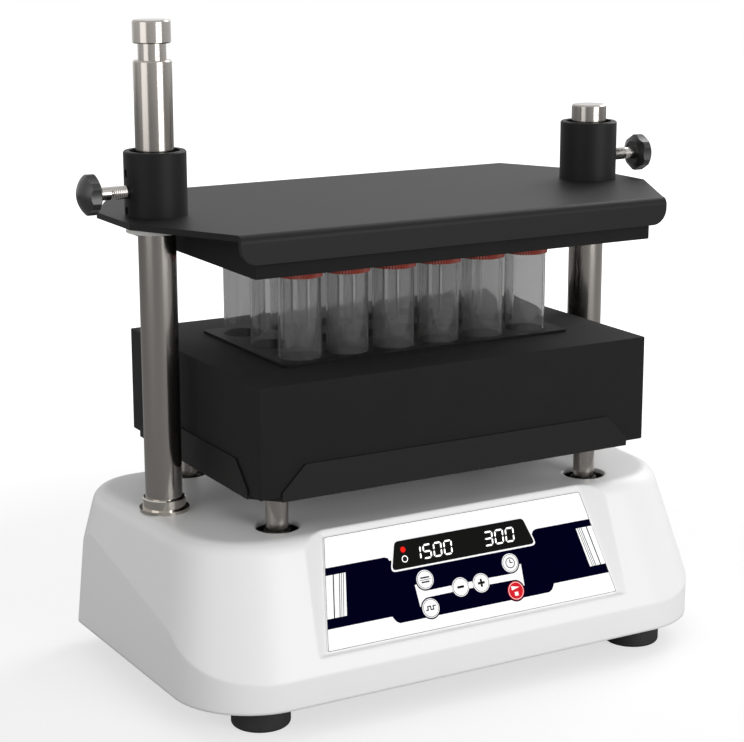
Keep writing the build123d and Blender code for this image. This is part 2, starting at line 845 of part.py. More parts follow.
# Carrier plate: the aluminium plate that the crank pin drives, under the deck
carrier_half_x = 136.0
carrier_half_y = 82.0
carrier_round = 14.0
boss_wall = 6.0
lightening_x = 43.0
lightening_width = 34.0
lightening_depth = 70.0
lightening_corner = 6.0
bolt_radius = 3.0
stage_place = (crank_x, stage_y)
with BuildPart() as carrier_plate:
    with BuildSketch(Plane.XY.offset(carrier_bottom)):
        with Locations(stage_place):
            RectangleRounded(2 * carrier_half_x, 2 * carrier_half_y, carrier_round)
    extrude(amount=carrier_thickness)
    with BuildSketch(Plane.XY.offset(drive_bearing_bottom)):
        with Locations(stage_place):
            Circle(drive_bearing_radius + boss_wall)
    extrude(amount=carrier_bottom - drive_bearing_bottom)
    with BuildSketch(Plane.XY.offset(drive_bearing_bottom)):
        with Locations(stage_place):
            Circle(drive_bearing_radius + running_gap)
    extrude(amount=drive_bearing_height, mode=Mode.SUBTRACT)
    with BuildSketch(Plane.XY.offset(carrier_bottom)):
        with Locations(*pin_places):
            Circle(idler_bearing_radius + running_gap)
    extrude(amount=idler_bearing_height, mode=Mode.SUBTRACT)
    with BuildSketch(Plane.XY.offset(carrier_bottom)):
        with Locations(stage_place):
            Circle(drive_bearing_radius - bearing_shelf)
        with Locations(*pin_places):
            Circle(idler_bearing_radius - bearing_shelf)
        with Locations(*platform_places):
            Circle(bolt_radius + running_gap)
        with Locations((crank_x - lightening_x, stage_y), (crank_x + lightening_x, stage_y)):
            RectangleRounded(lightening_width, lightening_depth, lightening_corner)
    extrude(amount=carrier_thickness, mode=Mode.SUBTRACT)
carrier_plate.part.label = "carrier_plate"
export_step(carrier_plate.part, "parts/carrier_plate.step")

with BuildPart() as drive_bearing:
    with BuildSketch(Plane.XY.offset(drive_bearing_bottom)):
        with Locations(stage_place):
            Circle(drive_bearing_radius)
            Circle(crank_pin_radius + running_gap, mode=Mode.SUBTRACT)
    extrude(amount=drive_bearing_height)
drive_bearing.part.label = "drive_bearing"
export_step(drive_bearing.part, "parts/drive_bearing.step")

with BuildPart() as carrier_bearings:
    with BuildSketch(Plane.XY.offset(upper_bearing_bottom)):
        with Locations(*pin_places):
            Circle(idler_bearing_radius)
            Circle(idler_pin_radius + running_gap, mode=Mode.SUBTRACT)
    extrude(amount=idler_bearing_height)
carrier_bearings.part.label = "carrier_bearings"
export_step(carrier_bearings.part, "parts/carrier_bearings.step")

# Platform posts: four bright posts that carry the tray, with a rubber boot round each foot
bolt_reach = 16.0
with BuildPart() as platform_posts:
    with BuildSketch(Plane.XY.offset(carrier_top)):
        with Locations(*platform_places):
            Circle(platform_post_radius)
    extrude(amount=tray_bottom - carrier_top)
    with BuildSketch(Plane.XY.offset(carrier_top)):
        with Locations(*platform_places):
            Circle(bolt_radius + running_gap)
    extrude(amount=bolt_reach, mode=Mode.SUBTRACT)
    with BuildSketch(Plane.XY.offset(tray_bottom)):
        with Locations(*platform_places):
            Circle(bolt_radius + running_gap)
    extrude(amount=-bolt_reach, mode=Mode.SUBTRACT)
platform_posts.part.label = "platform_posts"
export_step(platform_posts.part, "parts/platform_posts.step")

boot_height = 15.5
boot_wall = 1.6
with BuildPart() as post_boots:
    with BuildSketch(Plane.XY.offset(carrier_top)):
        with Locations(*platform_places):
            Circle(platform_post_radius + boot_wall)
            Circle(platform_post_radius + running_gap, mode=Mode.SUBTRACT)
    extrude(amount=boot_height)
post_boots.part.label = "post_boots"
export_step(post_boots.part, "parts/post_boots.step")

# Platform bolts: eight cap screws, up through the carrier and down through the tray
bolt_head_radius = 5.0
bolt_head_height = 6.0
bolt_tip_gap = 2.0
with BuildPart() as platform_bolts:
    with BuildSketch(Plane.XY.offset(carrier_bottom - bolt_head_height)):
        with Locations(*platform_places):
            Circle(bolt_head_radius)
    extrude(amount=bolt_head_height)
    with BuildSketch(Plane.XY.offset(carrier_bottom)):
        with Locations(*platform_places):
            Circle(bolt_radius)
    extrude(amount=carrier_thickness + bolt_reach - bolt_tip_gap)
    with BuildSketch(Plane.XY.offset(block_bottom)):
        with Locations(*platform_places):
            Circle(bolt_head_radius)
    extrude(amount=bolt_head_height)
    with BuildSketch(Plane.XY.offset(block_bottom)):
        with Locations(*platform_places):
            Circle(bolt_radius)
    extrude(amount=-(tray_sheet + bolt_reach - bolt_tip_gap))
platform_bolts.part.label = "platform_bolts"
export_step(platform_bolts.part, "parts/platform_bolts.step")

# Tray: folded sheet steel under the rack block, with a low flange on each side
flange_foot_x = 135.0
flange_top_x = 118.0
flange_foot_y = 87.0
flange_top_y = 70.0
flange_step = 6.0
flange_height = 23.0
tray_half_x = block_width / 2 + tray_skin
tray_half_y = block_depth / 2 + tray_skin


def flange_outline(foot, top):
    with BuildSketch() as outline:
        with BuildLine():
            Polyline(
                (-foot, 0),
                (foot, 0),
                (foot, flange_step),
                (top, flange_height),
                (-top, flange_height),
                (-foot, flange_step),
                close=True,
            )
        make_face()
    return outline.sketch


tray_front = Plane(origin=(crank_x, stage_y - tray_half_y, tray_bottom), x_dir=(1, 0, 0), z_dir=(0, -1, 0))
tray_rear = Plane(origin=(crank_x, stage_y + tray_half_y, tray_bottom), x_dir=(-1, 0, 0), z_dir=(0, 1, 0))
tray_left = Plane(origin=(crank_x - tray_half_x, stage_y, tray_bottom), x_dir=(0, -1, 0), z_dir=(-1, 0, 0))
tray_right = Plane(origin=(crank_x + tray_half_x, stage_y, tray_bottom), x_dir=(0, 1, 0), z_dir=(1, 0, 0))
with BuildPart() as tray:
    with BuildSketch(Plane.XY.offset(tray_bottom)):
        with Locations(stage_place):
            Rectangle(2 * flange_foot_x, 2 * tray_half_y)
            Rectangle(2 * tray_half_x, 2 * flange_foot_y)
            Polygon(
                (-flange_foot_x, -block_depth / 2),
                (flange_foot_x, -block_depth / 2),
                (block_width / 2, -flange_foot_y),
                (block_width / 2, flange_foot_y),
                (flange_foot_x, block_depth / 2),
                (-flange_foot_x, block_depth / 2),
                (-block_width / 2, flange_foot_y),
                (-block_width / 2, -flange_foot_y),
                align=None,
            )
    extrude(amount=tray_sheet)
    with BuildSketch(tray_front, tray_rear):
        add(flange_outline(flange_foot_x, flange_top_x))
    extrude(amount=-tray_skin)
    with BuildSketch(tray_left, tray_right):
        add(flange_outline(flange_foot_y, flange_top_y))
    extrude(amount=-tray_skin)
    with BuildSketch(Plane.XY.offset(tray_bottom)):
        with Locations(*platform_places):
            Circle(bolt_radius + running_gap)
    extrude(amount=tray_sheet, mode=Mode.SUBTRACT)
tray.part.label = "tray"
export_step(tray.part, "parts/tray.step")

# Rack block: black closed-cell foam, drilled for the tubes
tube_gap = 0.35
block_corner = 2.0
rack_plate_corner = 3.0
hole_radius = tube_radius + tube_gap
tube_places = [
    (
        crank_x + (column - (tube_columns - 1) / 2) * tube_pitch_x,
        stage_y + (row - (tube_rows - 1) / 2) * tube_pitch_y,
    )
    for row in range(tube_rows)
    for column in range(tube_columns)
]
with BuildPart() as rack_block:
    with BuildSketch(Plane.XY.offset(block_bottom)):
        with Locations(stage_place):
            Rectangle(block_width, block_depth)
    extrude(amount=block_height)
    fillet(rack_block.edges().filter_by(Axis.Z), block_corner)
    with BuildSketch(Plane.XY.offset(block_top)):
        with Locations(*tube_places):
            Circle(hole_radius)
    extrude(amount=-(block_top - tube_tip), mode=Mode.SUBTRACT)
    with BuildSketch(Plane.XY.offset(block_bottom)):
        with Locations(*platform_places):
            Circle(bolt_head_radius + slip_gap)
    extrude(amount=bolt_head_height + slip_gap, mode=Mode.SUBTRACT)
rack_block.part.label = "rack_block"
export_step(rack_block.part, "parts/rack_block.step")

with BuildPart() as rack_plate:
    with BuildSketch(Plane.XY.offset(block_top)):
        with Locations(stage_place):
            RectangleRounded(rack_plate_width, rack_plate_depth, rack_plate_corner)
        with Locations(*tube_places):
            Circle(hole_radius, mode=Mode.SUBTRACT)
    extrude(amount=rack_plate_thickness)
rack_plate.part.label = "rack_plate"
export_step(rack_plate.part, "parts/rack_plate.step")

# Tubes: clear conical tubes with screw caps, one node to each row of six
row_names = ["front", "middle", "rear"]
cap_chamfer = 0.8
for row, row_name in enumerate(row_names):
    row_places = tube_places[row * tube_columns:(row + 1) * tube_columns]
    with BuildPart() as tubes:
        for x, y in row_places:
            tube_plane = Plane(origin=(x, y, 0), x_dir=(1, 0, 0), z_dir=(0, -1, 0))
            with BuildSketch(tube_plane):
                with BuildLine():
                    Polyline(
                        (0, tube_tip),
                        (tube_tip_radius, tube_tip),
                        (tube_radius, tube_tip + tube_cone),
                        (tube_radius, tube_top),
                        (tube_radius - tube_wall, tube_top),
                        (tube_radius - tube_wall, tube_tip + tube_cone + tube_wall / 2),
                        (tube_tip_radius - tube_wall / 2, tube_tip + tube_wall),
                        (0, tube_tip + tube_wall),
                        close=True,
                    )
                make_face()
            revolve(axis=Axis((x, y, 0), (0, 0, 1)))
    tubes.part.label = row_name + "_tubes"
    export_step(tubes.part, "parts/" + row_name + "_tubes.step")

    with BuildPart() as caps:
        with BuildSketch(Plane.XY.offset(cap_top - cap_height)):
            with Locations(*row_places):
                Circle(cap_radius)
        extrude(amount=cap_height)
        chamfer(caps.edges().group_by(Axis.Z)[-1], cap_chamfer)
        with BuildSketch(Plane.XY.offset(cap_top - cap_height)):
            with Locations(*row_places):
                Circle(tube_radius + running_gap)
        extrude(amount=cap_height - cap_roof, mode=Mode.SUBTRACT)
    caps.part.label = row_name + "_caps"
    export_step(caps.part, "parts/" + row_name + "_caps.step")

# Press plate: a folded sheet with clipped corners and a turned-down lip front and rear
press_flat = press_face - press_bend
inner_bend = press_bend - press_sheet
bend_middle = sin(radians(45))
bend_rise = 1 - bend_middle
lip_plane = Plane(origin=(-press_half_front, stage_y, press_top), x_dir=(0, 1, 0), z_dir=(1, 0, 0))
with BuildPart() as press_plate:
    with BuildSketch(Plane.XY.offset(press_bottom)):
        with BuildLine():
            Polyline(
                (-press_half_front, stage_y - press_flat),
                (press_half_front, stage_y - press_flat),
                (press_half_width, stage_y - press_half_end),
                (press_half_width, stage_y + press_half_end),
                (press_half_front, stage_y + press_flat),
                (-press_half_front, stage_y + press_flat),
                (-press_half_width, stage_y + press_half_end),
                (-press_half_width, stage_y - press_half_end),
                close=True,
            )
        make_face()
        with Locations(*post_places):
            Circle(collar_radius + running_gap, mode=Mode.SUBTRACT)
    extrude(amount=press_sheet)
    for side in (-1, 1):
        with BuildSketch(lip_plane):
            with BuildLine():
                Line((side * press_flat, 0), (side * press_flat, -press_sheet))
                ThreePointArc(
                    (side * press_flat, -press_sheet),
                    (side * (press_flat + inner_bend * bend_middle), -press_sheet - inner_bend * bend_rise),
                    (side * (press_face - press_sheet), -press_bend),
                )
                Polyline(
                    (side * (press_face - press_sheet), -press_bend),
                    (side * (press_face - press_sheet), -press_lip),
                    (side * press_face, -press_lip),
                    (side * press_face, -press_bend),
                )
                ThreePointArc(
                    (side * press_face, -press_bend),
                    (side * (press_flat + press_bend * bend_middle), -press_bend * bend_rise),
                    (side * press_flat, 0),
                )
            make_face()
        extrude(amount=2 * press_half_front)
    lip_ends = press_plate.edges().filter_by(Axis.Y).group_by(Axis.Z)[0]
    fillet(lip_ends, press_lip_round)
press_plate.part.label = "press_plate"
export_step(press_plate.part, "parts/press_plate.step")

with BuildPart() as press_pad:
    with BuildSketch(Plane.XY.offset(pad_bottom)):
        with Locations((0, stage_y)):
            Rectangle(pad_width, 2 * (press_face - press_sheet - slip_gap))
    extrude(amount=pad_thickness)
    chamfer(press_pad.edges().filter_by(Axis.X).group_by(Axis.Z)[-1], inner_bend + slip_gap)
press_pad.part.label = "press_pad"
export_step(press_pad.part, "parts/press_pad.step")

collar_chamfer = 0.8

# Collars: two tubes welded through the press plate, cross-drilled for the clamp stud and grub screws
outward_planes = {
    "left": Plane(origin=(-post_x, stage_y, knob_z), x_dir=(0, 1, 0), z_dir=(-1, 0, 0)),
    "right": Plane(origin=(post_x, stage_y, knob_z), x_dir=(0, 1, 0), z_dir=(1, 0, 0)),
}
with BuildPart() as post_collars:
    with BuildSketch(Plane.XY.offset(collar_bottom)):
        with Locations(*post_places):
            Circle(collar_radius)
    extrude(amount=collar_top - collar_bottom)
    chamfer(post_collars.edges().group_by(Axis.Z)[-1], collar_chamfer)
    with BuildSketch(Plane.XY.offset(collar_bottom)):
        with Locations(*post_places):
            Circle(collar_bore)
    extrude(amount=collar_top - collar_bottom, mode=Mode.SUBTRACT)
    for outward in outward_planes.values():
        with BuildSketch(outward):
            Circle(stud_radius + running_gap)
            with GridLocations(1, 2 * grub_spacing, 1, 2):
                Circle(grub_radius + running_gap)
        extrude(amount=collar_radius + cut_over, mode=Mode.SUBTRACT)
post_collars.part.label = "post_collars"
export_step(post_collars.part, "parts/post_collars.step")

# Bushes: flanged nylon sleeves pushed into the collars from below
bush_gap = 0.1
bush_radius = collar_bore - running_gap
with BuildPart() as post_bushes:
    with BuildSketch(Plane.XY.offset(collar_bottom - bush_flange)):
        with Locations(*post_places):
            Circle(bush_flange_radius)
    extrude(amount=bush_flange)
    with BuildSketch(Plane.XY.offset(collar_bottom)):
        with Locations(*post_places):
            Circle(bush_radius)
    extrude(amount=collar_top - bush_top_drop - collar_bottom)
    with BuildSketch(Plane.XY.offset(collar_bottom - bush_flange)):
        with Locations(*post_places):
            Circle(post_radius + bush_gap)
    extrude(amount=collar_top - collar_bottom, mode=Mode.SUBTRACT)
    for outward in outward_planes.values():
        with BuildSketch(outward):
            Circle(stud_radius + running_gap)
        extrude(amount=collar_bore, mode=Mode.SUBTRACT)
post_bushes.part.label = "post_bushes"
export_step(post_bushes.part, "parts/post_bushes.step")

grub_sink = 1.0
with BuildPart() as grub_screws:
    for outward in outward_planes.values():
        with BuildSketch(outward.offset(collar_bore)):
            with GridLocations(1, 2 * grub_spacing, 1, 2):
                Circle(grub_radius)
        extrude(amount=collar_radius - collar_bore - grub_sink)
grub_screws.part.label = "grub_screws"
export_step(grub_screws.part, "parts/grub_screws.step")

# Clamp screws: a nylon tip that slides without turning, ahead of a lobed knob on its steel stud
tip_gap = 0.15
tip_start = post_radius + tip_gap
stud_start = tip_start + tip_length
knob_back = 2.6
knob_rim = 8.0
knob_shoulder = 2.0
knob_waist = 8.5
dome_radius = 7.26
knob_lobes = 6
lobe_radius = 20.0
lobe_bite = 1.3
for side_name, outward in outward_planes.items():
    with BuildPart() as clamp_tip:
        with BuildSketch(outward.offset(tip_start)):
            Circle(tip_radius)
        extrude(amount=tip_length)
    clamp_tip.part.label = side_name + "_clamp_tip"
    export_step(clamp_tip.part, "parts/" + side_name + "_clamp_tip.step")

    # The knob's side view: a waist on the stud, a broad rim, and a dome outside
    knob_section = Plane(origin=outward.origin, x_dir=outward.z_dir, z_dir=(0, -1, 0))
    with BuildPart() as knob_envelope:
        with BuildSketch(knob_section):
            with BuildLine():
                Polyline(
                    (knob_offset + knob_length, 0),
                    (knob_offset, 0),
                    (knob_offset, knob_waist),
                    (knob_offset + knob_back, knob_radius),
                    (knob_offset + knob_rim, knob_radius),
                )
                ThreePointArc(
                    (knob_offset + knob_rim, knob_radius),
                    (knob_offset + knob_length - knob_shoulder, dome_radius),
                    (knob_offset + knob_length, 0),
                )
            make_face()
        revolve(axis=Axis(outward.origin, outward.z_dir))
    with BuildPart() as clamp_knob:
        with BuildSketch(outward.offset(knob_offset)):
            Circle(knob_radius)
            with PolarLocations(knob_radius + lobe_radius - lobe_bite, knob_lobes):
                Circle(lobe_radius, mode=Mode.SUBTRACT)
        extrude(amount=knob_length)
        add(knob_envelope.part, mode=Mode.INTERSECT)
        with BuildSketch(outward.offset(stud_start)):
            Circle(stud_radius)
        extrude(amount=knob_offset - stud_start)
    clamp_knob.part.label = side_name + "_clamp_knob"
    export_step(clamp_knob.part, "parts/" + side_name + "_clamp_knob.step")

# Power supply: a closed module between the pillars and the left post socket
supply_width = 44.0
supply_length = 98.0
supply_height = 36.0
supply_x = -126.0
terminal_width = 12.0
terminal_height = 14.0
terminal_inset = 3.0
supply_chamfer = 1.5
with BuildPart() as power_supply:
    with BuildSketch(Plane.XY.offset(base_top)):
        with Locations((supply_x, stage_y)):
            Rectangle(supply_width, supply_length)
    extrude(amount=supply_height)
    chamfer(power_supply.edges().group_by(Axis.Z)[-1], supply_chamfer)
    with BuildSketch(Plane.XY.offset(base_top)):
        with Locations((supply_x, stage_y - (supply_length + terminal_width) / 2)):
            Rectangle(supply_width - 2 * terminal_inset, terminal_width)
    extrude(amount=terminal_height)
power_supply.part.label = "power_supply"
export_step(power_supply.part, "parts/power_supply.step")

# Mains inlet: a snap-in shell with three blades standing in its cavity
inlet_flange = 3.4
inlet_flange_thickness = 2.0
inlet_reach = 24.0
inlet_cavity_depth = 17.0
inlet_wall = 1.5
cavity_corner = 1.5
blade_width = 2.0
blade_tall = 4.0
blade_pitch = 7.0
blade_shift = 2.0
blade_length = 15.0
blade_tail = 9.0
inlet_centre = (-inlet_x, 0)
blade_places = [
    (-inlet_x - blade_pitch, -blade_shift),
    (-inlet_x, blade_shift),
    (-inlet_x + blade_pitch, -blade_shift),
]
inlet_face = rear_face.offset(inlet_flange_thickness)
with BuildPart() as mains_inlet:
    with BuildSketch(rear_face):
        with Locations(inlet_centre):
            RectangleRounded(inlet_width + 2 * inlet_flange, inlet_tall + 2 * inlet_flange, inlet_corner)
    extrude(amount=inlet_flange_thickness)
    with BuildSketch(rear_face):
        with Locations(inlet_centre):
            RectangleRounded(inlet_width, inlet_tall, inlet_corner)
    extrude(amount=-inlet_reach)
    with BuildSketch(inlet_face):
        with Locations(inlet_centre):
            RectangleRounded(inlet_width - 2 * inlet_wall, inlet_tall - 2 * inlet_wall, cavity_corner)
    extrude(amount=-inlet_cavity_depth, mode=Mode.SUBTRACT)
    with BuildSketch(inlet_face.offset(-inlet_cavity_depth)):
        with Locations(*blade_places):
            Rectangle(blade_width + 2 * running_gap, blade_tall + 2 * running_gap)
    extrude(amount=-inlet_reach, mode=Mode.SUBTRACT)
mains_inlet.part.label = "mains_inlet"
export_step(mains_inlet.part, "parts/mains_inlet.step")

with BuildPart() as inlet_pins:
    with BuildSketch(inlet_face.offset(blade_length - inlet_cavity_depth)):
        with Locations(*blade_places):
            Rectangle(blade_width, blade_tall)
    extrude(amount=-(blade_length + blade_tail))
inlet_pins.part.label = "inlet_pins"
export_step(inlet_pins.part, "parts/inlet_pins.step")

# Power switch: a snap-in body with a rocker that turns on two stub pins
switch_rim = 1.2
switch_corner = 1.0
switch_rim_thickness = 2.0
switch_reach_in = 18.0
pocket_depth = 9.0
pocket_width = 15.4
pocket_tall = 22.6
rocker_width = 14.8
rocker_half = 10.0
rocker_sink = 2.0
rocker_end = 5.5
rocker_middle = 3.0
rocker_back = 1.0
rocker_tilt = 10.0
rocker_pin_radius = 1.3
rocker_pin_reach = 1.2
switch_centre = (-switch_x, 0)
pivot_y = stage_y + skirt_rear - rocker_sink + switch_rim_thickness
switch_face = rear_face.offset(switch_rim_thickness)
pivot = (switch_x, pivot_y, inlet_z)
pivot_side = Plane(origin=pivot, x_dir=(0, 1, 0), z_dir=(1, 0, 0))
rocker_side = Plane(
    origin=pivot,
    x_dir=(0, cos(radians(rocker_tilt)), sin(radians(rocker_tilt))),
    z_dir=(1, 0, 0),
)
with BuildPart() as switch_body:
    with BuildSketch(rear_face):
        with Locations(switch_centre):
            RectangleRounded(switch_width + 2 * switch_rim, switch_tall + 2 * switch_rim, switch_corner)
    extrude(amount=switch_rim_thickness)
    with BuildSketch(rear_face):
        with Locations(switch_centre):
            Rectangle(switch_width, switch_tall)
    extrude(amount=-switch_reach_in)
    with BuildSketch(switch_face):
        with Locations(switch_centre):
            Rectangle(pocket_width, pocket_tall)
    extrude(amount=-pocket_depth, mode=Mode.SUBTRACT)
    with BuildSketch(pivot_side):
        Circle(rocker_pin_radius + running_gap)
    extrude(amount=rocker_width / 2 + rocker_pin_reach + slip_gap, both=True, mode=Mode.SUBTRACT)
switch_body.part.label = "switch_body"
export_step(switch_body.part, "parts/switch_body.step")

with BuildPart() as power_rocker:
    with BuildSketch(rocker_side):
        with BuildLine():
            Polyline(
                (rocker_end, -rocker_half),
                (rocker_middle, 0),
                (rocker_end, rocker_half),
                (-rocker_back, rocker_half),
                (-rocker_back, -rocker_half),
                close=True,
            )
        make_face()
    extrude(amount=rocker_width / 2, both=True)
    with BuildSketch(pivot_side):
        Circle(rocker_pin_radius)
    extrude(amount=rocker_width / 2 + rocker_pin_reach, both=True)
power_rocker.part.label = "power_rocker"
export_step(power_rocker.part, "parts/power_rocker.step")
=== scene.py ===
from math import cos, pi, radians, sin

import bmesh
import bpy
from mathutils import Matrix, Vector


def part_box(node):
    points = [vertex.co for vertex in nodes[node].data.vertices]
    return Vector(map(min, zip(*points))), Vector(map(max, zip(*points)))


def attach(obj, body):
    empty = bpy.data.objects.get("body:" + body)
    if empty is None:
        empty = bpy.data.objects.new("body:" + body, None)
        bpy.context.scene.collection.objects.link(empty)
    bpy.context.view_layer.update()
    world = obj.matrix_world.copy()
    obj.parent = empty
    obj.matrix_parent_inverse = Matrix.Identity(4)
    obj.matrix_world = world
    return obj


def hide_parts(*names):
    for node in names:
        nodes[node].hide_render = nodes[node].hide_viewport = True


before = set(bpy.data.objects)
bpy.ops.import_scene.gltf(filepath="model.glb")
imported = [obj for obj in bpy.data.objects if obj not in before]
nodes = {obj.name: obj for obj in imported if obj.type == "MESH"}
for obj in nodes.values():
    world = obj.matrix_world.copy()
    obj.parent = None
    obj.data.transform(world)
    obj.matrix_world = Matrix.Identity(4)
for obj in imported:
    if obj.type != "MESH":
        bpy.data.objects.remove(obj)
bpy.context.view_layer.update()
mm = 0.001

# The camera stands in front and to the left, a little above the press plate, as in the photograph.
# Its place, turn and lens were worked out from the straight edges of the object.
camera_place = Vector((-667.2, -1145.1, 519.9)) * mm
camera_turn = radians(-29.43)
camera_tilt = radians(13.46)
camera_roll = radians(0.11)
camera_data = bpy.data.cameras.new("photo_camera")
camera_data.sensor_width = 36.0
camera_data.lens = 93.97
camera_data.shift_x = 0.0060
camera_data.shift_y = -0.0059
camera_data.clip_end = 20.0
camera = bpy.data.objects.new("photo_camera", camera_data)
bpy.context.scene.collection.objects.link(camera)
camera.matrix_world = (
    Matrix.Translation(camera_place)
    @ Matrix.Rotation(camera_turn, 4, "Z")
    @ Matrix.Rotation(pi / 2 - camera_tilt, 4, "X")
    @ Matrix.Rotation(-camera_roll, 4, "Z")
)
bpy.context.scene.camera = camera
bpy.context.scene.view_settings.view_transform = "Standard"


def linear(code):
    """An sRGB hex colour as the linear numbers that a socket takes."""
    parts = [int(code[i:i + 2], 16) / 255 for i in (1, 3, 5)]
    return [p / 12.92 if p <= 0.04045 else ((p + 0.055) / 1.055) ** 2.4 for p in parts] + [1.0]


def add_node(tree, kind, sockets=None, **settings):
    """Adds a node, sets its properties, and fills its sockets with values or links from other nodes."""
    node = tree.nodes.new(kind)
    for name, value in settings.items():
        setattr(node, name, value)
    for name, value in (sockets or {}).items():
        if isinstance(value, bpy.types.NodeSocket):
            tree.links.new(value, node.inputs[name])
        else:
            node.inputs[name].default_value = value
    return node


def add_math(tree, operation, first, second):
    """Adds a math node that joins two values or links, and returns its result."""
    return add_node(tree, "ShaderNodeMath", {0: first, 1: second}, operation=operation).outputs[0]


# Studio: a white sweep with soft, even light. Rays that reach the camera directly, by reflection or
# through clear plastic see plain white, and all others see a dimmer sky that lights the object.
sky_level = 0.42
sky = bpy.data.worlds.new("studio_sky")
bpy.context.scene.world = sky
sky.use_nodes = True
tree = sky.node_tree
tree.nodes.clear()
path = add_node(tree, "ShaderNodeLightPath")
seen = add_math(tree, "ADD", path.outputs["Is Camera Ray"], path.outputs["Is Glossy Ray"])
seen = add_math(tree, "MAXIMUM", seen, path.outputs["Is Transmission Ray"])
level = add_node(tree, "ShaderNodeMapRange", {"Value": seen, "To Min": sky_level, "To Max": 1.0})
glow = add_node(tree, "ShaderNodeBackground", {"Color": linear("#ffffff"), "Strength": level.outputs[0]})
add_node(tree, "ShaderNodeOutputWorld", {"Surface": glow.outputs[0]})

# Floor: paper that takes the object's soft shadow. To the camera it also glows, from part strength near
# the object to full white some way off, so that it runs into the background without a line.
floor_half = 4.0
near_reach, far_reach = 0.4, 1.1
near_glow, far_glow = 0.62, 1.0
sweep = bmesh.new()
bmesh.ops.create_grid(sweep, x_segments=2, y_segments=2, size=floor_half)
floor_mesh = bpy.data.meshes.new("floor")
sweep.to_mesh(floor_mesh)
sweep.free()
floor = bpy.data.objects.new("floor", floor_mesh)
bpy.context.scene.collection.objects.link(floor)
paper = bpy.data.materials.new("white_paper_sweep")
paper.use_nodes = True
tree = paper.node_tree
tree.nodes.clear()
path = add_node(tree, "ShaderNodeLightPath")
ground = add_node(tree, "ShaderNodeTexCoord")
reach = add_node(tree, "ShaderNodeVectorMath", {0: ground.outputs["Object"]}, operation="LENGTH")
ramp = add_node(tree, "ShaderNodeMapRange", {"Value": reach.outputs["Value"], "From Min": near_reach,
                                             "From Max": far_reach, "To Min": near_glow, "To Max": far_glow})
lift = add_math(tree, "MULTIPLY", path.outputs["Is Camera Ray"], ramp.outputs[0])
matt = add_node(tree, "ShaderNodeBsdfDiffuse", {"Color": linear("#b4b4b4")})
shine = add_node(tree, "ShaderNodeEmission", {"Color": linear("#ffffff"), "Strength": lift})
both = add_node(tree, "ShaderNodeAddShader", {0: matt.outputs[0], 1: shine.outputs[0]})
add_node(tree, "ShaderNodeOutputMaterial", {"Surface": both.outputs[0]})
floor_mesh.materials.append(paper)

# Lamps: a key light in front on the right, a fill on the left and one behind that draws the edges.
# Each has its place in metres, its width and its power in watts.
lamp_aim = Vector((0, 0, 0.2))
for lamp_name, lamp_place, lamp_size, lamp_power in (
    ("key_softbox", (0.8, -2.5, 0.55), 1.5, 44.0),
    ("fill_softbox", (-2.3, -0.6, 0.8), 1.6, 13.0),
    ("rear_softbox", (1.9, 0.7, 1.6), 1.4, 26.0),
):
    lamp_data = bpy.data.lights.new(lamp_name, "AREA")
    lamp_data.size = lamp_size
    lamp_data.energy = lamp_power
    lamp = bpy.data.objects.new(lamp_name, lamp_data)
    bpy.context.scene.collection.objects.link(lamp)
    lamp.location = lamp_place
    aim = lamp_aim - Vector(lamp_place)
    lamp.rotation_euler = aim.to_track_quat("-Z", "Y").to_euler()


def finish_of(name, colour, roughness, **sockets):
    """Starts a material on the principled shader and returns it with its tree, shader and place node."""
    material = bpy.data.materials.new(name)
    material.use_nodes = True
    tree = material.node_tree
    shader = tree.nodes["Principled BSDF"]
    shader.inputs["Base Color"].default_value = linear(colour)
    shader.inputs["Roughness"].default_value = roughness
    for key, value in sockets.items():
        shader.inputs[key.replace("_", " ")].default_value = value
    place = add_node(tree, "ShaderNodeTexCoord").outputs["Object"]
    return material, tree, shader, place


def dress(material, *names):
    """Gives CAD nodes a material in place of the plain one they came with."""
    for name in names:
        nodes[name].data.materials.clear()
        nodes[name].data.materials.append(material)


def add_grain(tree, shader, place, width, detail, strength, depth):
    """Gives a finish a relief of noise that wide and deep, and returns its normal."""
    grain = add_node(tree, "ShaderNodeTexNoise", {"Vector": place, "Scale": 1 / width, "Detail": detail})
    bump = add_node(tree, "ShaderNodeBump",
                    {"Height": grain.outputs["Fac"], "Strength": strength, "Distance": depth})
    tree.links.new(bump.outputs[0], shader.inputs["Normal"])
    return bump.outputs[0]


def add_sheen(tree, shader, place, width, detail, low, high):
    """Lets the roughness of a finish drift between two levels, in patches that wide."""
    marks = add_node(tree, "ShaderNodeTexNoise", {"Vector": place, "Scale": 1 / width, "Detail": detail})
    tone = add_node(tree, "ShaderNodeMapRange",
                    {"Value": marks.outputs["Fac"], "To Min": low, "To Max": high})
    tree.links.new(tone.outputs[0], shader.inputs["Roughness"])


def add_tint(tree, shader, place, width, detail, dark, light):
    """Lets the colour of a finish drift between two tones, in patches that wide."""
    drift = add_node(tree, "ShaderNodeTexNoise", {"Vector": place, "Scale": 1 / width, "Detail": detail})
    tint = add_node(tree, "ShaderNodeMix",
                    {0: drift.outputs["Fac"], 6: linear(dark), 7: linear(light)}, data_type="RGBA")
    tree.links.new(tint.outputs[2], shader.inputs["Base Color"])


# Housing: injection-moulded ABS in signal white, spark-eroded to a fine satin texture.
# The grain is drawn at 0.9 mm, coarser than the real 0.1 mm, so that it shows.
abs_grain = 0.9 * mm
crease_round = 3.0 * mm
abs_white, tree, shader, place = finish_of("satin_abs_white", "#ededed", 0.42)
grain_normal = add_grain(tree, shader, place, abs_grain, 3.0, 0.04, 0.1 * mm)
crease = add_node(tree, "ShaderNodeBevel", {"Radius": crease_round, "Normal": grain_normal}, samples=6)
tree.links.new(crease.outputs[0], shader.inputs["Normal"])
dress(abs_white, "housing")

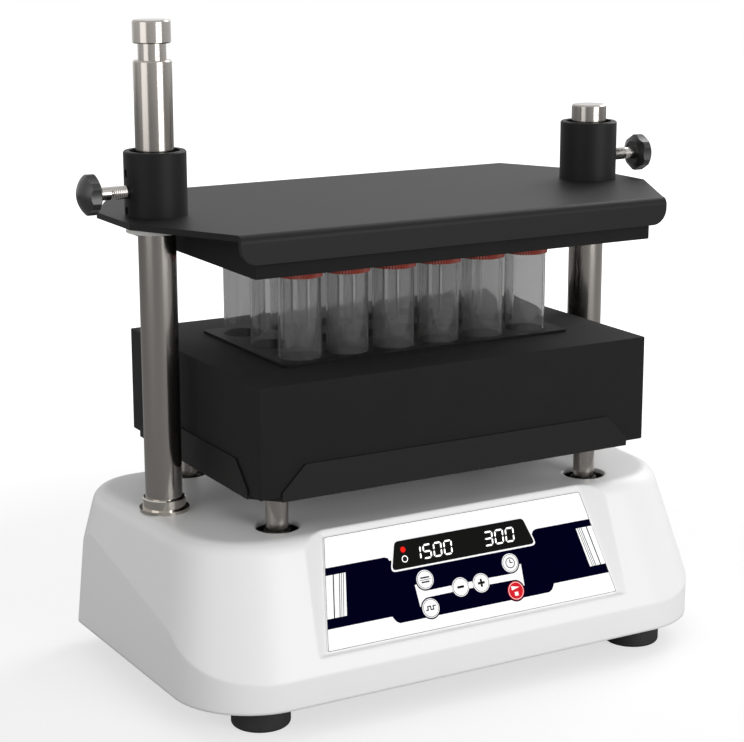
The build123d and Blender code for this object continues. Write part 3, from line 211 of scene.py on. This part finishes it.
# Base plate and drive parts: zinc-plated steel, cast and machined aluminium and bright ring bearings.
# They close the base from below and are seen only from under the feet and through the vents.
zinc, tree, shader, place = finish_of("zinc_plated_steel", "#a9abad", 0.38, Metallic=1.0)
add_sheen(tree, shader, place, 18 * mm, 4.0, 0.30, 0.46)
dress(zinc, "base_plate", "post_sockets", "idler_pillars", "base_screws", "foot_screws", "motor_screws",
      "platform_bolts", "motor_rotor", "eccentric_shaft", "counterweight", "front_left_idler",
      "rear_left_idler", "front_right_idler", "rear_right_idler", "pillar_bearings", "drive_bearing",
      "carrier_bearings")
milled, tree, shader, place = finish_of("milled_aluminium", "#b9bbbd", 0.34, Metallic=1.0)
cuts = add_node(tree, "ShaderNodeTexWave", {"Vector": place, "Scale": 1 / (6 * mm), "Distortion": 0.4},
                bands_direction="X")
bump = add_node(tree, "ShaderNodeBump",
                {"Height": cuts.outputs["Fac"], "Strength": 0.05, "Distance": 0.05 * mm})
tree.links.new(bump.outputs[0], shader.inputs["Normal"])
dress(milled, "carrier_plate", "power_supply")
enamel, tree, shader, place = finish_of("black_motor_enamel", "#232426", 0.35)
add_grain(tree, shader, place, 1.6 * mm, 2.0, 0.1, 0.1 * mm)
dress(enamel, "motor")
laminate, tree, shader, place = finish_of("green_board_laminate", "#1c5a33", 0.4)
add_grain(tree, shader, place, 0.8 * mm, 1.0, 0.08, 0.1 * mm)
dress(laminate, "control_board", "display_module")

# Feet and boots: moulded black nitrile rubber, dull, with a dusty bloom that lightens it in patches.
# The bloom is a slow drift between two dark greys.
rubber, tree, shader, place = finish_of("black_nitrile_rubber", "#1b1b1b", 0.72)
add_tint(tree, shader, place, 7 * mm, 5.0, "#151515", "#242424")
dress(rubber, "feet", "post_boots")

# Posts: ground and polished stainless bar. The lathe leaves fine rings, drawn 0.5 mm apart.
# The rings at their feet are plated with bright nickel.
steel_rings = 0.5 * mm
stainless, tree, shader, place = finish_of("polished_stainless_bar", "#a29d98", 0.17, Metallic=1.0)
axial = add_node(tree, "ShaderNodeMapping", {"Vector": place, "Scale": (0.0, 0.0, 1 / steel_rings)})
add_grain(tree, shader, axial.outputs[0], 1.0, 2.0, 0.12, 0.02 * mm)
dress(stainless, "left_post", "right_post", "platform_posts")
nickel, tree, shader, place = finish_of("bright_nickel_plate", "#b9b4ad", 0.1, Metallic=1.0)
add_sheen(tree, shader, place, 3 * mm, 3.0, 0.06, 0.18)
dress(nickel, "post_rings")

# Tray, press plate and collars: folded and welded steel under matt black powder coat.
# The coat's orange peel is 1.2 mm wide.
peel = 1.2 * mm
powder, tree, shader, place = finish_of("matt_black_powder_coat", "#161616", 0.5, Specular_IOR_Level=0.16)
add_grain(tree, shader, place, peel, 2.0, 0.12, 0.1 * mm)
dress(powder, "tray", "press_plate", "post_collars", "grub_screws")

# Rack plate: black polypropylene sheet, sawn and lightly brushed along its length.
# The brush marks are 40 mm long and 0.8 mm wide.
mark_long, mark_wide = 40 * mm, 0.8 * mm
black_sheet, tree, shader, place = finish_of("black_polypropylene_sheet", "#0d0d0d", 0.55,
                                             Specular_IOR_Level=0.08)
along = add_node(tree, "ShaderNodeMapping", {"Vector": place, "Scale": (1 / mark_long, 1 / mark_wide, 1.0)})
add_grain(tree, shader, along.outputs[0], 1.0, 3.0, 0.1, 0.05 * mm)
dress(black_sheet, "rack_plate")

# Knobs, inlet and switch: moulded black nylon. Bushes and clamp tips: the same in its natural colour.
# Both show the slight flow marks of moulding.
nylon_black, tree, shader, place = finish_of("black_moulded_nylon", "#242424", 0.34, Specular_IOR_Level=0.5)
add_grain(tree, shader, place, 1 * mm, 2.0, 0.06, 0.1 * mm)
dress(nylon_black, "left_clamp_knob", "right_clamp_knob", "mains_inlet", "switch_body", "power_rocker")
nylon_pale, tree, shader, place = finish_of("natural_nylon", "#d6d6d2", 0.45)
add_grain(tree, shader, place, 2 * mm, 2.0, 0.05, 0.1 * mm)
dress(nylon_pale, "post_bushes", "left_clamp_tip", "right_clamp_tip")


def piece(name, shape, material, body, place=None):
    """Makes the shape, built in mm, an object of that material that moves with the body."""
    bmesh.ops.transform(shape, matrix=(place or Matrix.Identity(4)), verts=shape.verts)
    bmesh.ops.transform(shape, matrix=Matrix.Scale(mm, 4), verts=shape.verts)
    bmesh.ops.recalc_face_normals(shape, faces=shape.faces)
    mesh = bpy.data.meshes.new(name)
    shape.to_mesh(mesh)
    shape.free()
    for face in mesh.polygons:
        face.use_smooth = True
    mesh.set_sharp_from_angle(angle=radians(35))
    mesh.materials.append(material)
    made = bpy.data.objects.new(name, mesh)
    bpy.context.scene.collection.objects.link(made)
    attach(made, body)
    return made


def add_plate(shape, loops, low, high):
    """Adds a closed plate from low to high. Loops inside others are its holes."""
    edges = []
    for loop in loops:
        corners = [shape.verts.new((x, y, low)) for x, y in loop]
        edges += [shape.edges.new((a, b)) for a, b in zip(corners, corners[1:] + corners[:1])]
    filled = bmesh.ops.triangle_fill(shape, edges=edges, use_beauty=True, normal=(0, 0, 1))
    faces = [item for item in filled["geom"] if isinstance(item, bmesh.types.BMFace)]
    raised = bmesh.ops.extrude_face_region(shape, geom=faces)
    corners = [item for item in raised["geom"] if isinstance(item, bmesh.types.BMVert)]
    bmesh.ops.translate(shape, vec=(0, 0, high - low), verts=corners)


def ring_of(x, y, radius, steps=48, start=0, end=360):
    """Points on a circle or arc, in mm; a full circle isn't closed with its first point again."""
    turn = end - start
    count = steps if turn == 360 else steps + 1
    angles = [radians(start + turn * i / steps) for i in range(count)]
    return [(x + radius * cos(angle), y + radius * sin(angle)) for angle in angles]


def add_spun(shape, profile, x, y, steps=48):
    """Adds a full turn of a profile of (radius, height) pairs about the upright axis through x, y."""
    points = [shape.verts.new((x + r, y, z)) for r, z in profile]
    edges = [shape.edges.new(pair) for pair in zip(points, points[1:])]
    bmesh.ops.spin(shape, geom=points + edges, cent=(x, y, 0), axis=(0, 0, 1), angle=2 * pi, steps=steps,
                   use_merge=True)


# Panel label: polyester film with screen-printed inks, raised key tops and a smoked display window.
# The inks are thin plates in the panel's own plane, each laid 0.02 mm above the last.
panel_foot = (0, -113.0, 50.9)
panel_lean = radians(23.7)
panel_place = Matrix.Translation(panel_foot) @ Matrix.Rotation(pi / 2 - panel_lean, 4, "X")
label_half, label_taper = 114.5, 13.0 / 73.4
ink = 0.02
key_radius, key_top = 6.4, 0.3
key_column, low_row, high_row = 33.8, 14.6, 33.8
middle_column, middle_row = 8.2, 24.4
keys = {"mode": (-key_column, high_row), "pulse": (-key_column, low_row),
        "minus": (-middle_column, middle_row), "plus": (middle_column, middle_row),
        "timer": (key_column, high_row), "start": (key_column, low_row)}


def ink_or_painted_shade_of(name, colour, roughness=0.3):
    """A printed ink, or a painted shadow line laid like one, with the slight unevenness of a screen print,
    drawn at 1.5 mm.
    """
    made, tree, shader, place = finish_of(name, colour, roughness, Specular_IOR_Level=0.0)
    add_sheen(tree, shader, place, 1.5 * mm, 2.0, roughness - 0.06, roughness + 0.06)
    return made


def light_up(material, strength):
    """Lets a print shine with white light: the lit digits' own light, and a painted glow on the film, which
    is no lamp.
    """
    shader = material.node_tree.nodes["Principled BSDF"]
    shader.inputs["Emission Color"].default_value = linear("#ffffff")
    shader.inputs["Emission Strength"].default_value = strength


film = ink_or_painted_shade_of("white_polyester_film_painted_glow", "#f7f7f7", 0.35)
# Painted glow: the white film and the key tops that share it shine a little with light of their own, though
# they are no lamp, so that they read whiter.
light_up(film, 0.16)
navy = ink_or_painted_shade_of("navy_screen_ink", "#02021c")
black_ink = ink_or_painted_shade_of("black_screen_ink", "#101014")
smoked = ink_or_painted_shade_of("smoked_acrylic", "#191918", 0.12)
key_red = ink_or_painted_shade_of("red_key_film", "#e0242f")
dress(film, "panel_overlay", "key_mode", "key_pulse", "key_minus", "key_plus", "key_timer")
dress(smoked, "display_window")
dress(key_red, "key_start")

# Status lights: the upper lamp is lit red and the lower one is dark.
# One material serves both, and changes colour at a height between them.
lamp_split, lit_red, unlit = 0.0993, "#e02018", "#191918"
lens, tree, shader, place = finish_of("red_light_lens", lit_red, 0.3, Emission_Strength=0.5,
                                      Specular_IOR_Level=0.0)
height = add_node(tree, "ShaderNodeSeparateXYZ", {"Vector": place})
upper = add_math(tree, "GREATER_THAN", height.outputs["Z"], lamp_split)
tint = add_node(tree, "ShaderNodeMix", {0: upper, 6: linear(unlit), 7: linear(lit_red)}, data_type="RGBA")
tree.links.new(tint.outputs[2], shader.inputs["Base Color"])
tree.links.new(tint.outputs[2], shader.inputs["Emission Color"])
dress(lens, "status_lights")


def label_edge(side, s):
    """A point on the label's slanting side edge, 0.3 mm inside it."""
    return (side * (label_half - label_taper * s - edge_margin), s)


# Navy band: it runs from edge to edge, widens round the keys and is left open where the keys stand.
# The numbers are places on the label, across from its middle and up from its foot, in mm.
edge_margin, key_margin = 0.3, 0.1
band_low, band_high, lobe_low = 14.2, 53.2, 9.0
band = [label_edge(-1, band_low), (-63.4, band_low), (-62.4, 12.4), (-61.0, 10.4), (-58.6, lobe_low),
        (60.0, lobe_low), (62.6, 10.4), (64.2, 12.4), (65.0, band_low), label_edge(1, band_low),
        label_edge(1, band_high), (60.0, band_high), (57.4, 52.4), (56.0, 50.4), (-57.2, 50.4),
        (-58.2, 52.4), (-60.6, band_high), label_edge(-1, band_high)]
print_shape = bmesh.new()
add_plate(print_shape, [band] + [ring_of(x, s, key_radius + key_margin) for x, s in keys.values()], 0, ink)
piece("panel_band_print", print_shape, navy, "base", panel_place)

# White print: two blocks for the stripes, the bar between the keys with its arms, and the display's frame.
# Each arm leaves the ring of a key on an arc and ends at the bar.
stripe_low, stripe_high = 20.7, 48.3
key_ring, ring_line = 7.4, 0.85
bar_low, bar_high, bar_end, bar_half = 22.2, 26.6, 14.8, 1.6
window = [(-56.5, 43.7), (56.5, 43.7), (50.8, 62.0), (-50.8, 62.0)]
white_loops = [
    [label_edge(-1, stripe_low), (-95.9, stripe_low), (-90.7, stripe_high), label_edge(-1, stripe_high)],
    [(97.2, stripe_low), label_edge(1, stripe_low), label_edge(1, stripe_high), (92.2, stripe_high)],
    [(-bar_half, bar_low), (bar_half, bar_low), (bar_half, bar_high), (-bar_half, bar_high)],
]
for side in (-1, 1):
    low_arc = ring_of(-key_column, low_row, key_ring, 8, 164, 92)
    high_arc = ring_of(-key_column, high_row, key_ring, 8, 268, 196)
    arm = [(-41.4, 16.8)] + low_arc + [(-bar_end, bar_low), (-bar_end, bar_high)] + high_arc + [(-42.2, 31.6)]
    white_loops.append([(-side * x, s) for x, s in arm])


def grown(outline, by, round_by):
    """The display's outline, larger by a margin and with round corners."""
    (x0, s0), (x1, s1), (x2, s2), (x3, s3) = outline
    low_by, high_by = by * 1.1, by * 0.9
    big = [(x0 - low_by, s0 - by), (x1 + low_by, s1 - by), (x2 + high_by, s2 + by), (x3 - high_by, s3 + by)]
    points = []
    for i, corner in enumerate(big):
        here, back, on = Vector(corner), Vector(big[i - 1]), Vector(big[(i + 1) % 4])
        enter = here + (back - here).normalized() * round_by
        leave = here + (on - here).normalized() * round_by
        for step in range(7):
            t = step / 6
            points.append(tuple(enter * (1 - t) ** 2 + here * 2 * t * (1 - t) + leave * t * t))
    return points


print_shape = bmesh.new()
for loop in white_loops:
    add_plate(print_shape, [loop], ink, 2 * ink)
add_plate(print_shape, [grown(window, 1.3, 4.2), grown(window, 0.15, 3.4)], ink, 3 * ink)
piece("panel_white_print", print_shape, film, "base", panel_place)

# Fine lines: four leaning stripes on each side, a ring round each outer key, and a thin grey line round the
# label that is painted shadow along its edge.
# A stripe is given by the middles of its upper and lower ends and its width.
stripes = ((99.9, 105.1, 0.8), (95.3, 101.0, 0.55), (93.8, 99.6, 0.4), (92.4, 98.2, 0.4))
right_shift = 1.2
print_shape = bmesh.new()
for side in (-1, 1):
    shift = right_shift if side > 0 else 0
    for top, foot, width in stripes:
        top_x, foot_x = side * (top + shift), side * (foot + shift)
        add_plate(print_shape, [[(foot_x - width / 2, stripe_low), (foot_x + width / 2, stripe_low),
                                 (top_x + width / 2, stripe_high), (top_x - width / 2, stripe_high)]],
                  2 * ink, 3 * ink)
    for s in (low_row, high_row):
        loops = [ring_of(side * key_column, s, key_ring), ring_of(side * key_column, s, key_ring - ring_line)]
        add_plate(print_shape, loops, 2 * ink, 3 * ink)
piece("panel_line_print", print_shape, navy, "base", panel_place)

# Painted shadow: this grey line round the label's rim stands in for the shade along the label's edge, and is
# not printed on the label.
painted_edge_shadow = ink_or_painted_shade_of("painted_label_edge_shadow", "#6c6c6e")
rim = [(-114.3, 0.15), (114.3, 0.15), (101.45, 73.2), (-101.45, 73.2)]
edge_shadow_width = 0.4
print_shape = bmesh.new()
add_plate(print_shape, [grown(rim, 0, 1.5), grown(rim, -edge_shadow_width, 1.3)], 0, 2 * ink)
piece("panel_edge_painted_shadow", print_shape, painted_edge_shadow, "base", panel_place)

# Display: white seven-segment digits behind the window and the rings of the lamps.
# The numbers are plain ones, and only the digits that they need are in the table.
segment_table = {"0": "abcdef", "1": "bc", "3": "abcdg", "5": "acdfg"}
stroke, stroke_gap, digit_lean = 1.15, 0.25, 0.1


def add_digit(shape, digit, x, s, width, tall):
    """Adds the lit segments of one digit, its lower left corner at x, s, leaning a little to the right."""
    half = tall / 2
    side = stroke / 2
    bars = {"a": (0, tall, 1), "g": (0, half, 1), "d": (0, 0, 1),
            "b": (width, half, 0), "c": (width, 0, 0), "f": (0, half, 0), "e": (0, 0, 0)}
    for name in segment_table[digit]:
        across, up, flat = bars[name]
        if flat:
            corners = [(stroke_gap, up), (stroke, up - side), (width - stroke, up - side),
                       (width - stroke_gap, up), (width - stroke, up + side), (stroke, up + side)]
        else:
            corners = [(across, up + stroke_gap), (across + side, up + stroke),
                       (across + side, up + half - stroke), (across, up + half - stroke_gap),
                       (across - side, up + half - stroke), (across - side, up + stroke)]
        add_plate(shape, [[(x + a + digit_lean * b, s + b) for a, b in corners]], key_top, key_top + ink)


print_shape = bmesh.new()
for digits, first_x, step, low, width, tall in (("1500", -39.2, 8.1, 47.6, 5.6, 8.8),
                                                ("300", 17.4, 8.6, 48.2, 6.0, 9.0)):
    for i, digit in enumerate(digits):
        add_digit(print_shape, digit, first_x + step * i, low, width, tall)
lamp_x, lamp_s, lamp_ring, lamp_line = -45.7, 49.7, 2.3, 0.5
lamp_loops = [ring_of(lamp_x, lamp_s, lamp_ring, 32), ring_of(lamp_x, lamp_s, lamp_ring - lamp_line, 32)]
add_plate(print_shape, lamp_loops, key_top, key_top + ink)
digit_white = ink_or_painted_shade_of("lit_white_segments", "#f4f4f2")
light_up(digit_white, 0.8)
piece("display_digits", print_shape, digit_white, "base", panel_place)

# Key tops: each has a fine printed ring and a plain sign, and moves with its key.
# The signs are outlines about the middle of their key, in mm.
sign_ring, sign_line = 5.9, 0.3
clock_ring, clock_line = 3.7, 0.6
signs = {
    "minus": [[(-2.6, -0.8), (2.6, -0.8), (2.6, 0.8), (-2.6, 0.8)]],
    "plus": [[(-2.7, -0.8), (-0.8, -0.8), (-0.8, -2.7), (0.8, -2.7), (0.8, -0.8), (2.7, -0.8),
              (2.7, 0.8), (0.8, 0.8), (0.8, 2.7), (-0.8, 2.7), (-0.8, 0.8), (-2.7, 0.8)]],
    "mode": [[(-3.4, 0.9), (3.4, 0.9), (3.4, 1.9), (-3.4, 1.9)],
             [(-4.2, -0.3), (4.2, -0.3), (4.2, 0.1), (-4.2, 0.1)],
             [(-3.0, -2.1), (3.0, -2.1), (3.0, -1.1), (-3.0, -1.1)]],
    "pulse": [[(-4.0, -1.4), (-1.9, -1.4), (-1.9, 0.9), (-0.5, 0.9), (-0.5, -1.4), (2.3, -1.4),
               (2.3, 0.9), (4.0, 0.9), (4.0, 1.7), (1.5, 1.7), (1.5, -0.6), (0.3, -0.6),
               (0.3, 1.7), (-2.7, 1.7), (-2.7, -0.6), (-4.0, -0.6)]],
    "timer": [[(-0.4, -0.3), (2.0, -0.3), (2.0, 0.4), (0.4, 0.4), (0.4, 2.3), (-0.4, 2.3)]],
    "start": [[(-3.2, 0.6), (3.2, 2.1), (-3.2, 3.6)], [(-1.4, -3.4), (1.4, -3.4), (1.4, -0.8), (-1.4, -0.8)]],
}
for key, (x, s) in keys.items():
    print_shape = bmesh.new()
    sign_rings = [(sign_ring, sign_ring - sign_line, 48)]
    if key == "timer":
        sign_rings.append((clock_ring, clock_ring - clock_line, 32))
    for wide, narrow, steps in sign_rings:
        loops = [ring_of(x, s, wide, steps), ring_of(x, s, narrow, steps)]
        add_plate(print_shape, loops, key_top, key_top + ink)
    for sign in signs[key]:
        add_plate(print_shape, [[(x + a, s + b) for a, b in sign]], key_top, key_top + ink)
    piece(key + "_key_print", print_shape, film if key == "start" else black_ink, key + "_key", panel_place)

# Rack block and press pad: closed-cell polyethylene foam, cut square with softened arrises and round bores.
# The cells are drawn at 1.1 mm, about twice the real ones.
foam_cell = 1.1 * mm
foam, tree, shader, place = finish_of("black_closed_cell_foam", "#101010", 0.85, Specular_IOR_Level=0.25)
cells = add_node(tree, "ShaderNodeTexVoronoi", {"Vector": place, "Scale": 1 / foam_cell})
bump = add_node(tree, "ShaderNodeBump",
                {"Height": cells.outputs["Distance"], "Strength": 0.35, "Distance": 0.3 * mm})
tree.links.new(bump.outputs[0], shader.inputs["Normal"])
add_tint(tree, shader, place, 30 * mm, 3.0, "#0e0e0e", "#161616")
tube_pitch, row_pitch, rack_y = 35.7, 42.0, 12.5
tube_tip, tube_long, tube_radius, tube_wall = 177.0, 115.0, 14.3, 1.2
bore_radius, bore_spare = 14.6, 0.1
soft_edge = 0.9
weld, near, steep = 0.001, 0.01, 1.2
rows = {}
for step, row_name in ((-1, "front"), (0, "middle"), (1, "rear")):
    rows[row_name] = [(tube_pitch * (column - 2.5), rack_y + row_pitch * step) for column in range(6)]


def foam_box(name, node, bores, floor_level, body):
    """A foam block inside the box of a CAD node, with blind bores down to a level and rounded outer edges."""
    low, high = [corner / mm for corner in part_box(node)]

    def at_side(vert):
        return min(abs(vert.co.x - low.x), abs(vert.co.x - high.x)) < near

    def at_end(vert):
        return min(abs(vert.co.y - low.y), abs(vert.co.y - high.y)) < near

    shape = bmesh.new()
    sheet_corners = [(low.x, low.y), (high.x, low.y), (high.x, high.y), (low.x, high.y)]
    loops = [sheet_corners] + [ring_of(x, y, bore_radius, 40) for x, y in bores]
    edges = []
    for loop in loops:
        corners = [shape.verts.new((x, y, high.z)) for x, y in loop]
        edges += [shape.edges.new((a, b)) for a, b in zip(corners, corners[1:] + corners[:1])]
    bmesh.ops.triangle_fill(shape, edges=edges, use_beauty=True, normal=(0, 0, 1))
    rim = [edge for edge in shape.edges if edge.is_boundary]
    outer = [edge for edge in rim if all(at_side(vert) for vert in edge.verts)]
    inner = [edge for edge in rim if edge not in outer]
    for group, drop in ((outer, high.z - low.z), (inner, high.z - floor_level)):
        if group:
            walls = bmesh.ops.extrude_edge_only(shape, edges=group)
            moved = [item for item in walls["geom"] if isinstance(item, bmesh.types.BMVert)]
            bmesh.ops.translate(shape, vec=(0, 0, -drop), verts=moved)
    bmesh.ops.holes_fill(shape, edges=[edge for edge in shape.edges if edge.is_boundary], sides=0)
    bmesh.ops.recalc_face_normals(shape, faces=shape.faces)
    arrises = [edge for edge in shape.edges if edge.calc_face_angle(0) > steep
               and all(at_side(vert) and at_end(vert) for vert in edge.verts)]
    bmesh.ops.bevel(shape, geom=arrises, affect="EDGES", offset=soft_edge, segments=4, profile=0.5,
                    material=-1)
    made = piece(name, shape, foam, body)
    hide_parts(node)


tube_places = rows["front"] + rows["middle"] + rows["rear"]
foam_box("rack_block_foam", "rack_block", tube_places, tube_tip - bore_spare, "platform")
foam_box("press_pad_foam", "press_pad", [], 0, "press")

# Tubes: clear moulded polypropylene with a conical foot, open at the mouth under the cap.
# A little of the light scatters in the wall, which gives the grey haze.
clear, tree, shader, place = finish_of("clear_tube_polymer", "#f2f2f2", 0.0, Transmission_Weight=1.0,
                                       IOR=1.45)
streak_wide, streak_long = 9 * mm, 60 * mm
streaks = add_node(tree, "ShaderNodeMapping",
                   {"Vector": place, "Scale": (1 / streak_wide, 1 / streak_wide, 1 / streak_long)})
flow = add_node(tree, "ShaderNodeTexNoise", {"Vector": streaks.outputs[0], "Scale": 1.0, "Detail": 2.0})
share = add_node(tree, "ShaderNodeMapRange", {"Value": flow.outputs["Fac"], "To Min": 0.03, "To Max": 0.06})
haze = add_node(tree, "ShaderNodeBsdfDiffuse", {"Color": linear("#d0d0d0")})
blend = add_node(tree, "ShaderNodeMixShader", {0: share.outputs[0], 1: shader.outputs[0], 2: haze.outputs[0]})
tree.links.new(blend.outputs[0], tree.nodes["Material Output"].inputs["Surface"])
foot_radius, cone_height, foot_inside = 3.6, 14.0, 3.0
inner = tube_radius - tube_wall
tube_profile = [(0, 0), (foot_radius, 0), (tube_radius, cone_height), (tube_radius, tube_long),
                (inner, tube_long), (inner, cone_height + tube_wall / 2), (foot_inside, tube_wall),
                (0, tube_wall)]
for row_name, places in rows.items():
    shape = bmesh.new()
    for x, y in places:
        add_spun(shape, [(r, tube_tip + z) for r, z in tube_profile], x, y, 64)
    bmesh.ops.remove_doubles(shape, verts=shape.verts, dist=weld)
    made = piece(row_name + "_clear_tubes", shape, clear, "platform")
    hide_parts(row_name + "_tubes")

# Caps: moulded polyethylene in brick red with fine grip ribs, a closed roof and a skirt round the mouth.
# A cap's rim is a polygon that steps in and out at each rib.
cap_red, tree, shader, place = finish_of("red_cap_polyethylene", "#a8371c", 0.5)
add_tint(tree, shader, place, 4 * mm, 3.0, "#7c2411", "#94301a")
cap_top, cap_tall, cap_roof, cap_radius = 293.5, 12.2, 1.5, 15.5
rib_depth, rib_count = 0.55, 48
mouth_gap = 0.1


def ribbed_rim(x, y):
    """The outline of a cap about x, y, with its grip ribs."""
    points = []
    for i in range(2 * rib_count):
        radius = cap_radius - rib_depth * (i % 2)
        points.append((x + radius * cos(pi * i / rib_count), y + radius * sin(pi * i / rib_count)))
    return points


for row_name, places in rows.items():
    shape = bmesh.new()
    for x, y in places:
        mouth = ring_of(x, y, tube_radius + mouth_gap)
        add_plate(shape, [ribbed_rim(x, y), mouth], cap_top - cap_tall, cap_top - cap_roof)
        add_plate(shape, [ribbed_rim(x, y)], cap_top - cap_roof, cap_top)
    made = piece(row_name + "_ribbed_caps", shape, cap_red, "platform")
    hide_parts(row_name + "_caps")

# Clamp studs: bright steel over the CAD stud, with a 1.25 mm rolled thread that stops short of the knob.
# Each is spun about its own axis, from the collar outwards, and then turned to its side.
bright, tree, shader, place = finish_of("bright_turned_steel", "#b8b4b0", 0.18, Metallic=1.0)
add_sheen(tree, shader, place, 1 * mm, 2.0, 0.12, 0.26)
stud_radius, thread_pitch, thread_height, plain_height = 3.95, 1.25, 0.45, 0.3
stud_start, stud_smooth, stud_end = 20.8, 33.3, 39.8
stud_x, stud_y, stud_z = 171.6, 12.5, 338.5
crest, trough = 0.45, 0.9
for side, side_name in ((-1, "left"), (1, "right")):
    profile = [(0, stud_start)]
    turns = int((stud_smooth - stud_start) / thread_pitch)
    for i in range(turns):
        at = stud_start + i * thread_pitch
        profile += [(stud_radius, at), (stud_radius + thread_height, at + crest * thread_pitch),
                    (stud_radius, at + trough * thread_pitch)]
    profile += [(stud_radius + plain_height, stud_start + turns * thread_pitch),
                (stud_radius + plain_height, stud_end), (0, stud_end)]
    shape = bmesh.new()
    add_spun(shape, profile, 0, 0, 32)
    bmesh.ops.remove_doubles(shape, verts=shape.verts, dist=weld)
    stud_place = Matrix.Translation((side * stud_x, stud_y, stud_z)) @ Matrix.Rotation(side * pi / 2, 4, "Y")
    piece(side_name + "_stud_thread", shape, bright, side_name + "_knob", stud_place)

# Mains blades: plated brass, with the fine drawn marks of the strip that they are cut from.
# They stand in the inlet at the rear.
brass, tree, shader, place = finish_of("plated_brass", "#c9b58a", 0.3, Metallic=1.0)
add_sheen(tree, shader, place, 2 * mm, 2.0, 0.22, 0.38)
dress(brass, "inlet_pins")
